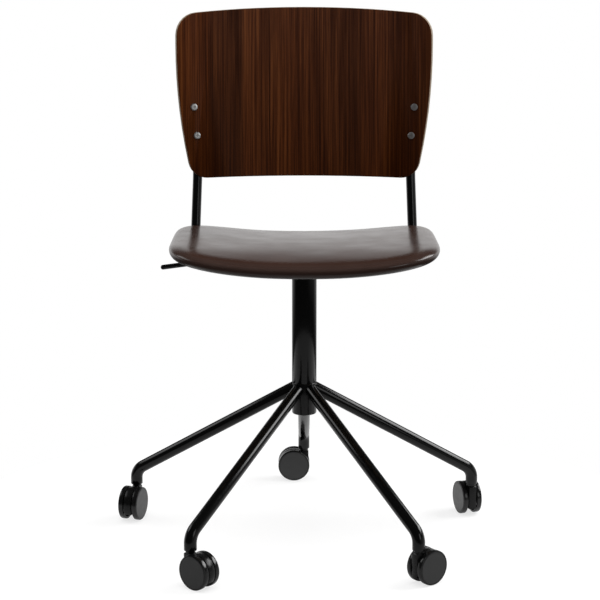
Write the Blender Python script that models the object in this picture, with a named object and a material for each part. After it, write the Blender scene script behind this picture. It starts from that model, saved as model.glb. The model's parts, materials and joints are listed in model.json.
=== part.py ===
"""A swivel chair: plywood back, upholstered seat, gas-lift column and five twin-wheel casters.

Metres, +Z up. The sitter faces -Y, and +X is to the right of someone looking along +Y.
Everything is placed about the column's axis, which hangs from the empty named chair. That
empty is moved at the end, so that the origin lies on the floor in the middle of the footprint.
"""

import math

import bmesh
import bpy
from mathutils import Matrix, Vector

# Gaps
GAP = 0.0003  # between two pieces that touch
RUNNING_GAP = 0.0006  # between two flat faces that turn or slide past each other

# Casters
WHEEL_RADIUS = 0.0280
WHEEL_WIDTH = 0.0086
WHEEL_EDGE = 0.0011  # chamfer of the tread's edges
WHEEL_RECESS = 0.0040  # depth of the hollow in the inner face
WHEEL_RIM = 0.0036
WHEEL_BOSS_RADIUS = 0.0065
WHEEL_SIDES = 24
WHEEL_OUTER_WALL = 0.0022  # left between the axle's end and the outer face
WHEEL_TO_HOOD = 0.0017
HOOD_WIDTH = 0.0125
HOOD_RADIUS = 0.0275
HOOD_WALL = 0.0020
HOOD_LOWER_EDGE = 0.0135  # above the floor
HOOD_BOSS_RADIUS = 0.0070
HOOD_TOP = 0.0535
HOOD_ARC_END = math.radians(104)  # of the round guard, from straight ahead over the top
HOOD_HOLLOW_START = math.radians(-62)
HOOD_HOLLOW_END = math.radians(98)
HOOD_CORNER = 0.0020
HOOD_BACK_MARGIN = 0.0009  # behind the stem's collar
CASTER_TRAIL = 0.0180
AXLE_RADIUS = 0.0030
STEM_RADIUS = 0.0055
STEM_SHANK_RADIUS = 0.0040
STEM_SHANK_LENGTH = 0.0170
STEM_COLLAR_RADIUS = 0.0074
STEM_EDGE = 0.0010

# Base: hub and five tubular legs
LEG_CIRCLE_RADIUS = 0.3000
LEG_DIAMETER = 0.0200
LEG_WALL = 0.0020
LEG_BEND_RADIUS = 0.0250
LEG_BEND_HEIGHT = 0.0820  # where the sloping axis meets the stem's axis
LEG_APEX_HEIGHT = 0.2610  # where the five sloping axes meet
LEG_FOOT_HEIGHT = 0.0572
LEG_EDGE = 0.0008
LEG_SIDES = 12
SOCKET_DEPTH = 0.0180
HUB_BOTTOM = 0.2085
HUB_HEIGHT = 0.0530
HUB_WALL = 0.0029  # at the wide end of its tapered bore
HUB_BORE_TAPER = 0.0006
HUB_EDGE = 0.0012
ROUND_SIDES = 28
SMALL_ROUND_SIDES = 20

# Gas lift
COLUMN_WALL = 0.0020
COLUMN_FOOT_RECESS = 0.0080  # from the hub's lower edge up to the column's floor
COLUMN_FLOOR = 0.0030
SPIGOT_WALL = 0.0016
SPIGOT_THICK_HEIGHT = 0.0040  # of the column's thicker wall, above the shoulder
SPIGOT_THIN_HEIGHT = 0.0060
CYLINDER_RADIUS = 0.0140
CYLINDER_WALL = 0.0018
CONE_TAPER = 0.0006
CONE_LENGTH = 0.0140
CYLINDER_END_WALL = 0.0100
LIFT_TRAVEL = 0.1000
BUSH_FOOT_HEIGHT = 0.0389  # of the guide bush, above the column's shoulder
BEARING_THICKNESS = 0.0035
BEARING_RADIUS = 0.0095
BEARING_GROOVE = 0.0008
FLANGE_THICKNESS = 0.0030
FLANGE_RADIUS = 0.0085
BUFFER_THICKNESS = 0.0070
BUFFER_RADIUS = 0.0100
BUFFER_BULGE = 0.0015
ROD_RADIUS = 0.0050
ROD_END_RADIUS = 0.0038
ROD_END_RECESS = 0.0020  # from the hub's lower edge up to the rod's end
PISTON_THICKNESS = 0.0080
ROD_GUIDE_LENGTH = 0.0120
WASHER_THICKNESS = 0.0014
WASHER_RADIUS = 0.0095
CLIP_RADIUS = 0.0075
CLIP_OPENING = 0.0050
PIN_RADIUS = 0.0030
PIN_EDGE = 0.0006
PIN_RISE = 0.0022
PIN_LENGTH = 0.0080
PIN_SPACE = 0.0035  # left below the pin, for its travel

# Seat
SEAT_HALF_WIDTH = 0.2030  # to the middle of the rounded edge
SEAT_FRONT = 0.2000
SEAT_REAR = 0.2000
SEAT_WIDEST = -0.0200
SEAT_FRONT_EXPONENT = 4.0
SEAT_REAR_EXPONENT = 5.4
SEAT_HEIGHT = 0.4752  # middle of the seat's thickness, on the column's axis
SEAT_SLOPE = 0.0567  # fall towards the back
SEAT_DISH = 0.45  # rise of the sides, per metre squared
SEAT_THICKNESS = 0.0220
SEAT_CROWN = 0.0035
PAD_RIM = 0.0140
SHELL_THICKNESS = 0.0090
SEAT_SIDES = 48
SHELL_RINGS = (0.30, 0.60, 0.91)  # how far in from the edge its surfaces have points
PAD_TOP_RINGS = (0.88, 0.60, 0.34, 0.16, 0.05)

# Seat mechanism
RAIL_THICKNESS = 0.0050
RAIL_WIDTH = 0.0200
RAIL_HALF_LENGTH = 0.1050
SEAT_SCREW_X = 0.0960
SEAT_SCREW_HEAD_RADIUS = 0.0045
SEAT_SCREW_HEAD_THICKNESS = 0.0024
SEAT_SCREW_SHANK_RADIUS = 0.0020
SEAT_SCREW_GRIP = 0.0065  # length inside the shell
FRONT_RAIL_Y = -0.0185
REAR_RAIL_Y = 0.0560
HOUSING_DEPTH = 0.0187
HOUSING_HALF_WIDTH = 0.0280
HOUSING_WALL = 0.0025
HOUSING_CORNER = 0.0060
HOUSING_END_MARGIN = 0.0010
SOCKET_WALL = 0.0030
SOCKET_EDGE = 0.0010

# Lever
LEVER_RADIUS = 0.0040
LEVER_Y = 0.0100
LEVER_OVERHANG = 0.0300  # outwards from the middle of the seat's rounded edge
LEVER_END_DROP = 0.0249  # below the seat's middle
LEVER_BEND_X = 0.1400
LEVER_BEND_DROP = 0.0124
LEVER_BEND_RADIUS = 0.0800
LEVER_ARM = 0.0450  # from the pivot to the valve pin
LEVER_INNER_SLOPE = 0.0420
LEVER_INNER_REACH = 0.0060  # of the round bar, over the flat tongue
LEVER_SLOT_CLEARANCE = 0.0012
LEVER_SLOT_DEPTH = 0.0085
LEVER_SIDES = 12
TONGUE_THICKNESS = 0.0030
TONGUE_HALF_SPAN = 0.0060
TONGUE_LENGTH = 0.0305
PIVOT_RADIUS = 0.0020
BRACKET_EAR = 0.0020
BRACKET_CREST = 0.0010  # metal left above the pivot pin
BRACKET_OVERHANG = 0.0260
BRACKET_RISE = 0.0060  # of its underside, above the housing's
BRACKET_TROUGH_DEPTH = 0.0080  # below the pivot pin's axis
PIVOT_PIN_PROUD = 0.0010

# Back board
BOARD_HEIGHT = 0.2826
BOARD_RISE = 0.0912  # of its foot, above the seat's middle
BOARD_SETBACK = 0.0276  # of its foot, behind the seat
BOARD_RECLINE = math.radians(10.0)
BOARD_BEND_RADIUS = 0.6000
BOARD_THICKNESS = 0.0100
BOARD_EDGE = 0.0014
BOARD_OVERHANG = 0.0188  # on each side, beyond the seat
BOARD_TAPER = 0.0280  # on each side, from the top to the foot
BOARD_WAIST = 0.1260  # height on the board where its sides turn
BOARD_CROWN = 0.0094
BOARD_CROWN_PLACE = 0.514  # where the crown turns down, as a share of the way to the top corner
BOARD_CROWN_SPREAD = 0.965  # share of that way that the crown's curve takes up
BOARD_TOP_CORNER = 0.0370
BOARD_FOOT_CORNER = 0.0330
BOARD_SIDE_RADIUS = 0.9000
BOARD_STRIPS = 14

# Back posts and their screws
POST_RADIUS = 0.0080
POST_WALL = 0.0015
POST_SIDES = 12
POST_BEND_RADIUS = 0.0350
POST_START_Y = 0.0450
POST_ELBOW_X = 0.0700
POST_REAR_OUTSET = 0.0004  # of the rear bend, outwards from the lower screw
POST_EDGE = 0.0010
POST_END_WALL = 0.0030
POST_KNEE_DROP = 0.0550  # below the lower screw
POST_KNEE_RADIUS = 0.2500
POST_END_RISE = 0.0260  # above the upper screw
LOWER_SCREW_INSET = 0.0354  # inwards from the board's widest point
LOWER_SCREW_UP = 0.0707
UPPER_SCREW_INSET = 0.0300
UPPER_SCREW_UP = 0.1184
SCREW_HEAD_RADIUS = 0.0060
SCREW_HEAD_THICKNESS = 0.0022
SCREW_SHANK_RADIUS = 0.0025
SCREW_LENGTH = 0.0185
SCREW_HEX_RADIUS = 0.0023
SCREW_HEX_DEPTH = 0.0014

# Sizes that follow from the ones above
SPIGOT_BORE_RADIUS = CYLINDER_RADIUS + RUNNING_GAP
SPIGOT_FOOT_RADIUS = SPIGOT_BORE_RADIUS + SPIGOT_WALL
SPIGOT_TOP_RADIUS = SPIGOT_FOOT_RADIUS + HUB_BORE_TAPER
HUB_BORE_TOP_RADIUS = SPIGOT_TOP_RADIUS + GAP
HUB_RADIUS = HUB_BORE_TOP_RADIUS + HUB_WALL
COLUMN_RADIUS = HUB_RADIUS
HUB_TOP = HUB_BOTTOM + HUB_HEIGHT
COLUMN_SHOULDER = HUB_TOP + GAP
COLUMN_FOOT = HUB_BOTTOM + COLUMN_FOOT_RECESS
COLUMN_FLOOR_TOP = COLUMN_FOOT + COLUMN_FLOOR
SEAT_UNDERSIDE = SEAT_HEIGHT - SEAT_THICKNESS / 2
HOUSING_TOP = SEAT_UNDERSIDE - GAP - RAIL_THICKNESS - GAP
HOUSING_BOTTOM = HOUSING_TOP - HOUSING_DEPTH
COLUMN_TOP = HOUSING_BOTTOM - GAP - RUNNING_GAP
BEARING_BOTTOM = COLUMN_FLOOR_TOP + GAP
FLANGE_BOTTOM = BEARING_BOTTOM + BEARING_THICKNESS + GAP
BUFFER_BOTTOM = FLANGE_BOTTOM + FLANGE_THICKNESS + GAP
CYLINDER_BOTTOM = BUFFER_BOTTOM + BUFFER_THICKNESS + RUNNING_GAP
CONE_BOTTOM = HOUSING_BOTTOM + GAP
CYLINDER_TOP = CONE_BOTTOM + CONE_LENGTH
PISTON_TOP = CYLINDER_BOTTOM + ROD_GUIDE_LENGTH + LIFT_TRAVEL + 2 * PISTON_THICKNESS
LEVER_REACH = SEAT_HALF_WIDTH + LEVER_OVERHANG
LEVER_END_HEIGHT = SEAT_HEIGHT - LEVER_END_DROP
LEVER_BEND_HEIGHT = SEAT_HEIGHT - LEVER_BEND_DROP
PIVOT_X = -LEVER_ARM
BOARD_TOP_HALF_WIDTH = SEAT_HALF_WIDTH + BOARD_OVERHANG
BOARD_FOOT_HALF_WIDTH = BOARD_TOP_HALF_WIDTH - BOARD_TAPER
BOARD_BOTTOM_HEIGHT = SEAT_HEIGHT + BOARD_RISE
BOARD_BOTTOM_Y = SEAT_REAR + BOARD_SETBACK
LOWER_SCREW_ACROSS = BOARD_TOP_HALF_WIDTH - LOWER_SCREW_INSET
UPPER_SCREW_ACROSS = BOARD_TOP_HALF_WIDTH - UPPER_SCREW_INSET
POST_REAR_X = LOWER_SCREW_ACROSS + POST_REAR_OUTSET
POST_REAR_Y = SEAT_REAR
HALF_PAIR = HOOD_WIDTH / 2 + WHEEL_TO_HOOD + WHEEL_WIDTH
STEM_BOTTOM = HOOD_TOP - STEM_SHANK_LENGTH

# Directions in degrees, anticlockwise from +X
LEG_AZIMUTHS = {
    "rear": 90.0,
    "mid_left": 162.0,
    "mid_right": 18.0,
    "front_left": 234.0,
    "front_right": 306.0,
}
TRAIL_AZIMUTHS = {
    "rear": 180.0,
    "mid_left": 252.0,
    "mid_right": 107.0,
    "front_left": 320.0,
    "front_right": 39.0,
}

MATERIALS = {
    "black_paint": ((0.010, 0.010, 0.010), 0.32, 0.0),
    "steel": ((0.55, 0.55, 0.56), 0.30, 1.0),
    "black_plastic": ((0.018, 0.018, 0.018), 0.45, 0.0),
    "wheel_plastic": ((0.026, 0.026, 0.026), 0.38, 0.0),
    "rubber": ((0.015, 0.015, 0.015), 0.80, 0.0),
    "walnut": ((0.070, 0.030, 0.014), 0.45, 0.0),
    "plywood": ((0.45, 0.33, 0.21), 0.60, 0.0),
    "leather": ((0.062, 0.044, 0.040), 0.42, 0.0),
}


def material(name):
    """The material of this name, made the first time that it is asked for."""
    if name in bpy.data.materials:
        return bpy.data.materials[name]
    colour, roughness, metallic = MATERIALS[name]
    made = bpy.data.materials.new(name)
    made.use_nodes = True
    shader = made.node_tree.nodes["Principled BSDF"]
    shader.inputs["Base Color"].default_value = (*colour, 1.0)
    shader.inputs["Roughness"].default_value = roughness
    shader.inputs["Metallic"].default_value = metallic
    return made


def link(name, data, parent=None, place=None):
    """An object with this data, held by its parent."""
    made = bpy.data.objects.new(name, data)
    bpy.context.scene.collection.objects.link(made)
    made.parent = parent
    if place is not None:
        made.matrix_local = place
    return made


def mesh_of(name, shape):
    """The mesh of a bmesh, with its faces turned outwards and its round sides smooth."""
    bmesh.ops.remove_doubles(shape, verts=shape.verts, dist=1e-7)
    bmesh.ops.recalc_face_normals(shape, faces=shape.faces)
    if shape.calc_volume(signed=True) < 0:
        bmesh.ops.reverse_faces(shape, faces=shape.faces)
    mesh = bpy.data.meshes.new(name)
    shape.to_mesh(mesh)
    shape.free()
    mesh.shade_smooth()
    mesh.set_sharp_from_angle(angle=math.radians(35))
    return mesh


def piece(name, shape, finish, parent=None, place=None):
    """A piece of the chair. Its shape is a bmesh, or a mesh that it shares with another piece."""
    mesh = mesh_of(name, shape) if isinstance(shape, bmesh.types.BMesh) else shape
    if not mesh.materials:
        mesh.materials.append(material(finish))
    return link(name, mesh, parent, place)


def cutter(name, shape, parent=None, place=None):
    """A hidden shape that Booleans take away or add."""
    made = link(name, mesh_of(name, shape), parent, place)
    made.hide_render = True
    made.display_type = "WIRE"
    return made


def boolean(target, tool, operation="DIFFERENCE"):
    made = target.modifiers.new(f"{operation.lower()} {tool.name}", "BOOLEAN")
    made.operation = operation
    made.object = tool
    made.solver = "EXACT"


def turned(profile, sides, half_step=False):
    """A solid of revolution about Z, from (radius, height) points."""
    shape = bmesh.new()
    points = [shape.verts.new((radius, 0.0, height)) for radius, height in profile]
    edges = [shape.edges.new(pair) for pair in zip(points, points[1:])]
    if profile[0][0] and profile[-1][0]:
        edges.append(shape.edges.new((points[-1], points[0])))
    if half_step:
        turn = Matrix.Rotation(math.pi / sides, 3, "Z")
        bmesh.ops.rotate(shape, verts=points, cent=(0, 0, 0), matrix=turn)
    bmesh.ops.spin(
        shape, geom=points + edges, cent=(0, 0, 0), axis=(0, 0, 1), angle=math.tau, steps=sides
    )
    return shape


def box(low, high):
    """A box between two corners."""
    shape = bmesh.new()
    size = Vector(high) - Vector(low)
    middle = (Vector(high) + Vector(low)) / 2
    place = Matrix.Translation(middle) @ Matrix.Diagonal((*size, 1.0))
    bmesh.ops.create_cube(shape, size=1.0, matrix=place)
    return shape


def cylinder(radius, length, sides=16):
    """A cylinder about Z, centred."""
    return turned([(0, -length / 2), (radius, -length / 2), (radius, length / 2), (0, length / 2)], sides)


def skin(rings):
    """A closed surface over rings of points, capped at both ends."""
    shape = bmesh.new()
    rows = [[shape.verts.new(point) for point in ring] for ring in rings]
    for row, following in zip(rows, rows[1:]):
        for i in range(len(row)):
            j = (i + 1) % len(row)
            shape.faces.new((row[i], row[j], following[j], following[i]))
    shape.faces.new(rows[0])
    shape.faces.new(rows[-1])
    return shape


def rounded(corners, radii, steps):
    """The corners joined by straight lines, with each corner rounded to its radius."""
    path = []
    for i, (corner, radius) in enumerate(zip(corners, radii)):
        if not radius:
            path.append(corner)
            continue
        back = (corners[i - 1] - corner).normalized()
        ahead = (corners[i + 1] - corner).normalized()
        half_turn = (math.pi - back.angle(ahead)) / 2
        reach = radius * math.tan(half_turn)
        middle = corner + (back + ahead).normalized() * radius / math.cos(half_turn)
        start = corner + back * reach - middle
        end = corner + ahead * reach - middle
        across = (end - start * math.cos(2 * half_turn)).normalized() * radius
        for k in range(steps + 1):
            angle = 2 * half_turn * k / steps
            path.append(middle + start * math.cos(angle) + across * math.sin(angle))
    return path


def sections(path, start_normal):
    """The middle of each cross-section along a path, with its two directions, without twist."""
    found = []
    normal = Vector(start_normal)
    for i, point in enumerate(path):
        before = (point - path[i - 1]).normalized() if i else Vector()
        after = (path[i + 1] - point).normalized() if i + 1 < len(path) else Vector()
        along = (before + after).normalized()
        normal = (normal - along * normal.dot(along)).normalized()
        found.append((point, normal, along.cross(normal)))
    return found


def ring(section, radius, sides):
    middle, first, second = section
    turns = [math.tau * i / sides for i in range(sides)]
    return [middle + first * radius * math.cos(a) + second * radius * math.sin(a) for a in turns]


def direction(azimuth_degrees):
    angle = math.radians(azimuth_degrees)
    return Vector((math.cos(angle), math.sin(angle), 0.0))


def seat_middle(x, y):
    """Height of the middle of the seat's thickness."""
    return SEAT_HEIGHT - SEAT_SLOPE * y + SEAT_DISH * x * x


def seat_outline(inset, sides=SEAT_SIDES):
    """The seat's plan, a rounded square that is fuller at the back, drawn in by an inset."""
    points = []
    for i in range(sides):
        angle = math.tau * i / sides
        across, along = math.cos(angle), math.sin(angle)
        power = 2 / (SEAT_REAR_EXPONENT if along > 0 else SEAT_FRONT_EXPONENT)
        depth = SEAT_REAR - SEAT_WIDEST if along > 0 else SEAT_FRONT + SEAT_WIDEST
        x = math.copysign(abs(across) ** power, across) * (SEAT_HALF_WIDTH - inset)
        y = math.copysign(abs(along) ** power, along) * (depth - inset) + SEAT_WIDEST
        points.append((x, y))
    return points


def empty(name, parent=None, place=None):
    made = link(name, None, parent, place)
    made.empty_display_size = 0.02
    return made


def make_hub(chair):
    lower_bore = HUB_BORE_TOP_RADIUS - HUB_BORE_TAPER
    profile = [
        (HUB_RADIUS, HUB_TOP),
        (HUB_RADIUS, HUB_BOTTOM + HUB_EDGE),
        (HUB_RADIUS - HUB_EDGE, HUB_BOTTOM),
        (lower_bore, HUB_BOTTOM),
        (HUB_BORE_TOP_RADIUS, HUB_TOP),
    ]
    return piece("hub", turned(profile, ROUND_SIDES), "black_paint", chair)


def leg_mesh(hub_cutter_radius):
    """One leg along +X: a tube that slopes from the hub and bends down to the caster's stem."""
    radius = LEG_DIAMETER / 2
    start = Vector((0.0, 0.0, LEG_APEX_HEIGHT))
    bend = Vector((LEG_CIRCLE_RADIUS, 0.0, LEG_BEND_HEIGHT))
    inside_hub = start.lerp(bend, 0.7 * hub_cutter_radius / LEG_CIRCLE_RADIUS)
    foot = Vector((LEG_CIRCLE_RADIUS, 0.0, LEG_FOOT_HEIGHT))
    path = rounded([inside_hub, bend, foot], [0, LEG_BEND_RADIUS, 0], 5)
    spine = sections(path, (0, 1, 0))
    outer = [ring(section, radius, LEG_SIDES) for section in spine]
    inner = [ring(section, radius - LEG_WALL, LEG_SIDES) for section in spine[:4]]
    last = spine[-1]
    outer[-1] = ring((last[0] + Vector((0, 0, LEG_EDGE)), *last[1:]), radius, LEG_SIDES)
    outer.append(ring(last, radius - LEG_EDGE, LEG_SIDES))
    mouth = ring(last, STEM_RADIUS + GAP, LEG_SIDES)
    socket_top = last[0] + Vector((0, 0, SOCKET_DEPTH))
    blind_end = ring((socket_top, *last[1:]), STEM_RADIUS + GAP, LEG_SIDES)
    return mesh_of("leg", skin([*reversed(inner), *outer, mouth, blind_end]))


def make_legs(chair):
    cut_radius = HUB_RADIUS + GAP
    round_hub = cutter("hub_clearance", cylinder(cut_radius, 4 * HUB_HEIGHT, ROUND_SIDES), chair)
    round_hub.location.z = HUB_TOP
    shared = leg_mesh(cut_radius)
    for name, azimuth in LEG_AZIMUTHS.items():
        turn = Matrix.Rotation(math.radians(azimuth), 4, "Z")
        leg = piece(f"leg_{name}", shared, "black_paint", chair, turn)
        boolean(leg, round_hub)


def hood_outline():
    """Side view of the hood about the axle: a round guard with a square corner under the stem."""
    rear_wall = -CASTER_TRAIL - STEM_COLLAR_RADIUS - HOOD_BACK_MARGIN
    lower = HOOD_LOWER_EDGE - WHEEL_RADIUS
    top = HOOD_TOP - WHEEL_RADIUS
    first = math.asin(lower / HOOD_RADIUS)
    steps = 16
    points = []
    for k in range(steps + 1):
        angle = first + (HOOD_ARC_END - first) * k / steps
        points.append((HOOD_RADIUS * math.cos(angle), HOOD_RADIUS * math.sin(angle)))
    stem_front = -CASTER_TRAIL + STEM_COLLAR_RADIUS
    points += [(stem_front, top), (rear_wall + HOOD_CORNER, top)]
    points += [(rear_wall, top - HOOD_CORNER), (rear_wall, lower)]
    return points


def plate(outline, thickness):
    """An outline in the XZ plane, given a thickness along Y."""
    shape = bmesh.new()
    face = shape.faces.new([shape.verts.new((x, -thickness / 2, z)) for x, z in outline])
    moved = bmesh.ops.extrude_face_region(shape, geom=[face])["geom"]
    points = [item for item in moved if isinstance(item, bmesh.types.BMVert)]
    bmesh.ops.translate(shape, verts=points, vec=(0, thickness, 0))
    return shape


def hood_hollow():
    """The space inside the hood, round the axle's boss, open at the bottom."""
    outer = HOOD_RADIUS - HOOD_WALL
    steps = 9
    sweep = HOOD_HOLLOW_END - HOOD_HOLLOW_START
    turns = [HOOD_HOLLOW_START + sweep * k / steps for k in range(steps + 1)]
    arc = [(outer * math.cos(a), outer * math.sin(a)) for a in turns]
    back = [(HOOD_BOSS_RADIUS * math.cos(a), HOOD_BOSS_RADIUS * math.sin(a)) for a in reversed(turns)]
    return plate(arc + back, HOOD_WIDTH - 2 * HOOD_WALL)


def wheel_mesh():
    """A wheel about Z, hollow on its inner side, whose flats touch the floor."""
    flat_to_corner = 1 / math.cos(math.pi / WHEEL_SIDES)
    tread = WHEEL_RADIUS * flat_to_corner
    shoulder = (WHEEL_RADIUS - WHEEL_EDGE) * flat_to_corner
    bore = AXLE_RADIUS + GAP
    profile = [
        (0, WHEEL_WIDTH),
        (shoulder, WHEEL_WIDTH),
        (tread, WHEEL_WIDTH - WHEEL_EDGE),
        (tread, 0),
        (WHEEL_RADIUS - WHEEL_RIM, 0),
        (WHEEL_RADIUS - WHEEL_RIM, WHEEL_RECESS),
        (WHEEL_BOSS_RADIUS, WHEEL_RECESS),
        (WHEEL_BOSS_RADIUS, 0),
        (bore, 0),
        (bore, WHEEL_WIDTH - WHEEL_OUTER_WALL),
        (0, WHEEL_WIDTH - WHEEL_OUTER_WALL),
    ]
    return mesh_of("caster_wheel", turned(profile, WHEEL_SIDES, half_step=True))


def stem_mesh():
    top = LEG_FOOT_HEIGHT + SOCKET_DEPTH - 2 * GAP
    collar_top = LEG_FOOT_HEIGHT - GAP
    collar_bottom = HOOD_TOP + GAP
    profile = [
        (0, top),
        (STEM_RADIUS - STEM_EDGE, top),
        (STEM_RADIUS, top - STEM_EDGE),
        (STEM_RADIUS, collar_top),
        (STEM_COLLAR_RADIUS, collar_top),
        (STEM_COLLAR_RADIUS, collar_bottom),
        (STEM_SHANK_RADIUS, collar_bottom),
        (STEM_SHANK_RADIUS, STEM_BOTTOM),
        (0, STEM_BOTTOM),
    ]
    return mesh_of("caster_stem", turned(profile, 12))


def make_casters(chair):
    hood = mesh_of("caster_hood", plate(hood_outline(), HOOD_WIDTH))
    wheel, stem = wheel_mesh(), stem_mesh()
    axle_length = 2 * (HALF_PAIR - WHEEL_OUTER_WALL - GAP)
    axle = mesh_of("caster_axle", cylinder(AXLE_RADIUS, axle_length, 12))
    along_y = Matrix.Rotation(math.radians(-90), 4, "X")
    axle_place = Matrix.Translation((CASTER_TRAIL, 0, WHEEL_RADIUS))
    inner_face = HOOD_WIDTH / 2 + WHEEL_TO_HOOD
    for name, azimuth in LEG_AZIMUTHS.items():
        foot = direction(azimuth) * LEG_CIRCLE_RADIUS
        piece(f"caster_stem_{name}", stem, "black_paint", chair, Matrix.Translation(foot))
        turn = Matrix.Rotation(math.radians(TRAIL_AZIMUTHS[name]), 4, "Z")
        swivel = empty(f"caster_swivel_{name}", chair, Matrix.Translation(foot) @ turn)
        guard = piece(f"caster_hood_{name}", hood, "black_plastic", swivel, axle_place)
        axle_cut = cutter(f"axle_bore_{name}", cylinder(AXLE_RADIUS + GAP, 2 * HOOD_WIDTH, 12), swivel)
        axle_cut.matrix_local = axle_place @ along_y
        stem_cut = cutter(f"stem_bore_{name}", stem_bore(), swivel)
        hollow = cutter(f"hood_hollow_{name}", hood_hollow(), swivel, axle_place)
        for tool in (axle_cut, stem_cut, hollow):
            boolean(guard, tool)
        piece(f"caster_axle_{name}", axle, "steel", swivel, axle_place @ along_y)
        for side, mirror in (("left", 1), ("right", -1)):
            outwards = along_y @ Matrix.Rotation(math.pi if mirror < 0 else 0.0, 4, "X")
            shift = Matrix.Translation((CASTER_TRAIL, mirror * inner_face, WHEEL_RADIUS))
            piece(f"caster_wheel_{name}_{side}", wheel, "wheel_plastic", swivel, shift @ outwards)


def stem_bore():
    """The blind hole in the hood that turns on the stem, cut from above the hood."""
    radius = STEM_SHANK_RADIUS + GAP
    bottom, top = STEM_BOTTOM - GAP, HOOD_TOP + STEM_SHANK_LENGTH / 2
    return turned([(0, top), (radius, top), (radius, bottom), (0, bottom)], 12)


def make_column(chair):
    bore = COLUMN_RADIUS - COLUMN_WALL
    hole = ROD_END_RADIUS + 2 * GAP
    profile = [
        (COLUMN_RADIUS, COLUMN_TOP),
        (COLUMN_RADIUS, COLUMN_SHOULDER),
        (SPIGOT_TOP_RADIUS, COLUMN_SHOULDER),
        (SPIGOT_FOOT_RADIUS, COLUMN_FOOT),
        (hole, COLUMN_FOOT),
        (hole, COLUMN_FLOOR_TOP),
        (SPIGOT_BORE_RADIUS, COLUMN_FLOOR_TOP),
        (SPIGOT_BORE_RADIUS, COLUMN_SHOULDER + SPIGOT_THICK_HEIGHT),
        (bore, COLUMN_SHOULDER + SPIGOT_THIN_HEIGHT),
        (bore, COLUMN_TOP),
    ]
    piece("column_tube", turned(profile, ROUND_SIDES), "black_paint", chair)
    bush_top = COLUMN_TOP - GAP
    bush_foot = COLUMN_SHOULDER + BUSH_FOOT_HEIGHT
    profile = [
        (bore - GAP, bush_top),
        (bore - GAP, bush_foot),
        (CYLINDER_RADIUS + GAP, bush_foot),
        (CYLINDER_RADIUS + GAP, bush_top),
    ]
    piece("guide_bush", turned(profile, ROUND_SIDES), "black_plastic", chair)
    bearing_top = BEARING_BOTTOM + BEARING_THICKNESS
    middle = (BEARING_BOTTOM + bearing_top) / 2
    profile = [
        (BEARING_RADIUS, bearing_top),
        (BEARING_RADIUS, middle + BEARING_GROOVE),
        (BEARING_RADIUS - BEARING_GROOVE, middle),
        (BEARING_RADIUS, middle - BEARING_GROOVE),
        (BEARING_RADIUS, BEARING_BOTTOM),
        (hole, BEARING_BOTTOM),
        (hole, bearing_top),
    ]
    piece("thrust_bearing", turned(profile, SMALL_ROUND_SIDES), "steel", chair)


def make_rod(swivel):
    """The rod, which turns in the column's floor, and what is held on it."""
    flange_top = FLANGE_BOTTOM + FLANGE_THICKNESS
    end = HUB_BOTTOM + ROD_END_RECESS
    piston = CYLINDER_RADIUS - CYLINDER_WALL - 2 * GAP
    profile = [
        (0, PISTON_TOP),
        (piston, PISTON_TOP),
        (piston, PISTON_TOP - PISTON_THICKNESS),
        (ROD_RADIUS, PISTON_TOP - PISTON_THICKNESS),
        (ROD_RADIUS, flange_top),
        (FLANGE_RADIUS, flange_top),
        (FLANGE_RADIUS, FLANGE_BOTTOM),
        (ROD_END_RADIUS, FLANGE_BOTTOM),
        (ROD_END_RADIUS, end),
        (0, end),
    ]
    piece("piston_rod", turned(profile, SMALL_ROUND_SIDES), "steel", swivel)
    buffer_top = BUFFER_BOTTOM + BUFFER_THICKNESS
    inner = ROD_RADIUS + GAP
    profile = [
        (BUFFER_RADIUS, buffer_top),
        (BUFFER_RADIUS + BUFFER_BULGE, (buffer_top + BUFFER_BOTTOM) / 2),
        (BUFFER_RADIUS, BUFFER_BOTTOM),
        (inner, BUFFER_BOTTOM),
        (inner, buffer_top),
    ]
    piece("rubber_buffer", turned(profile, SMALL_ROUND_SIDES), "rubber", swivel)
    washer_top = COLUMN_FOOT - GAP
    washer = washer_shape(WASHER_RADIUS, washer_top)
    piece("rod_washer", washer, "steel", swivel)
    clip_top = washer_top - WASHER_THICKNESS - GAP
    clip = piece("retaining_clip", washer_shape(CLIP_RADIUS, clip_top), "steel", swivel)
    low = (0, -CLIP_OPENING / 2, clip_top - 2 * WASHER_THICKNESS)
    high = (2 * CLIP_RADIUS, CLIP_OPENING / 2, clip_top + WASHER_THICKNESS)
    boolean(clip, cutter("clip_slot", box(low, high), swivel))


def washer_shape(radius, top):
    """A flat ring round the rod's thin end."""
    inner = ROD_END_RADIUS + GAP
    bottom = top - WASHER_THICKNESS
    return turned([(radius, top), (radius, bottom), (inner, bottom), (inner, top)], SMALL_ROUND_SIDES)


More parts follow.
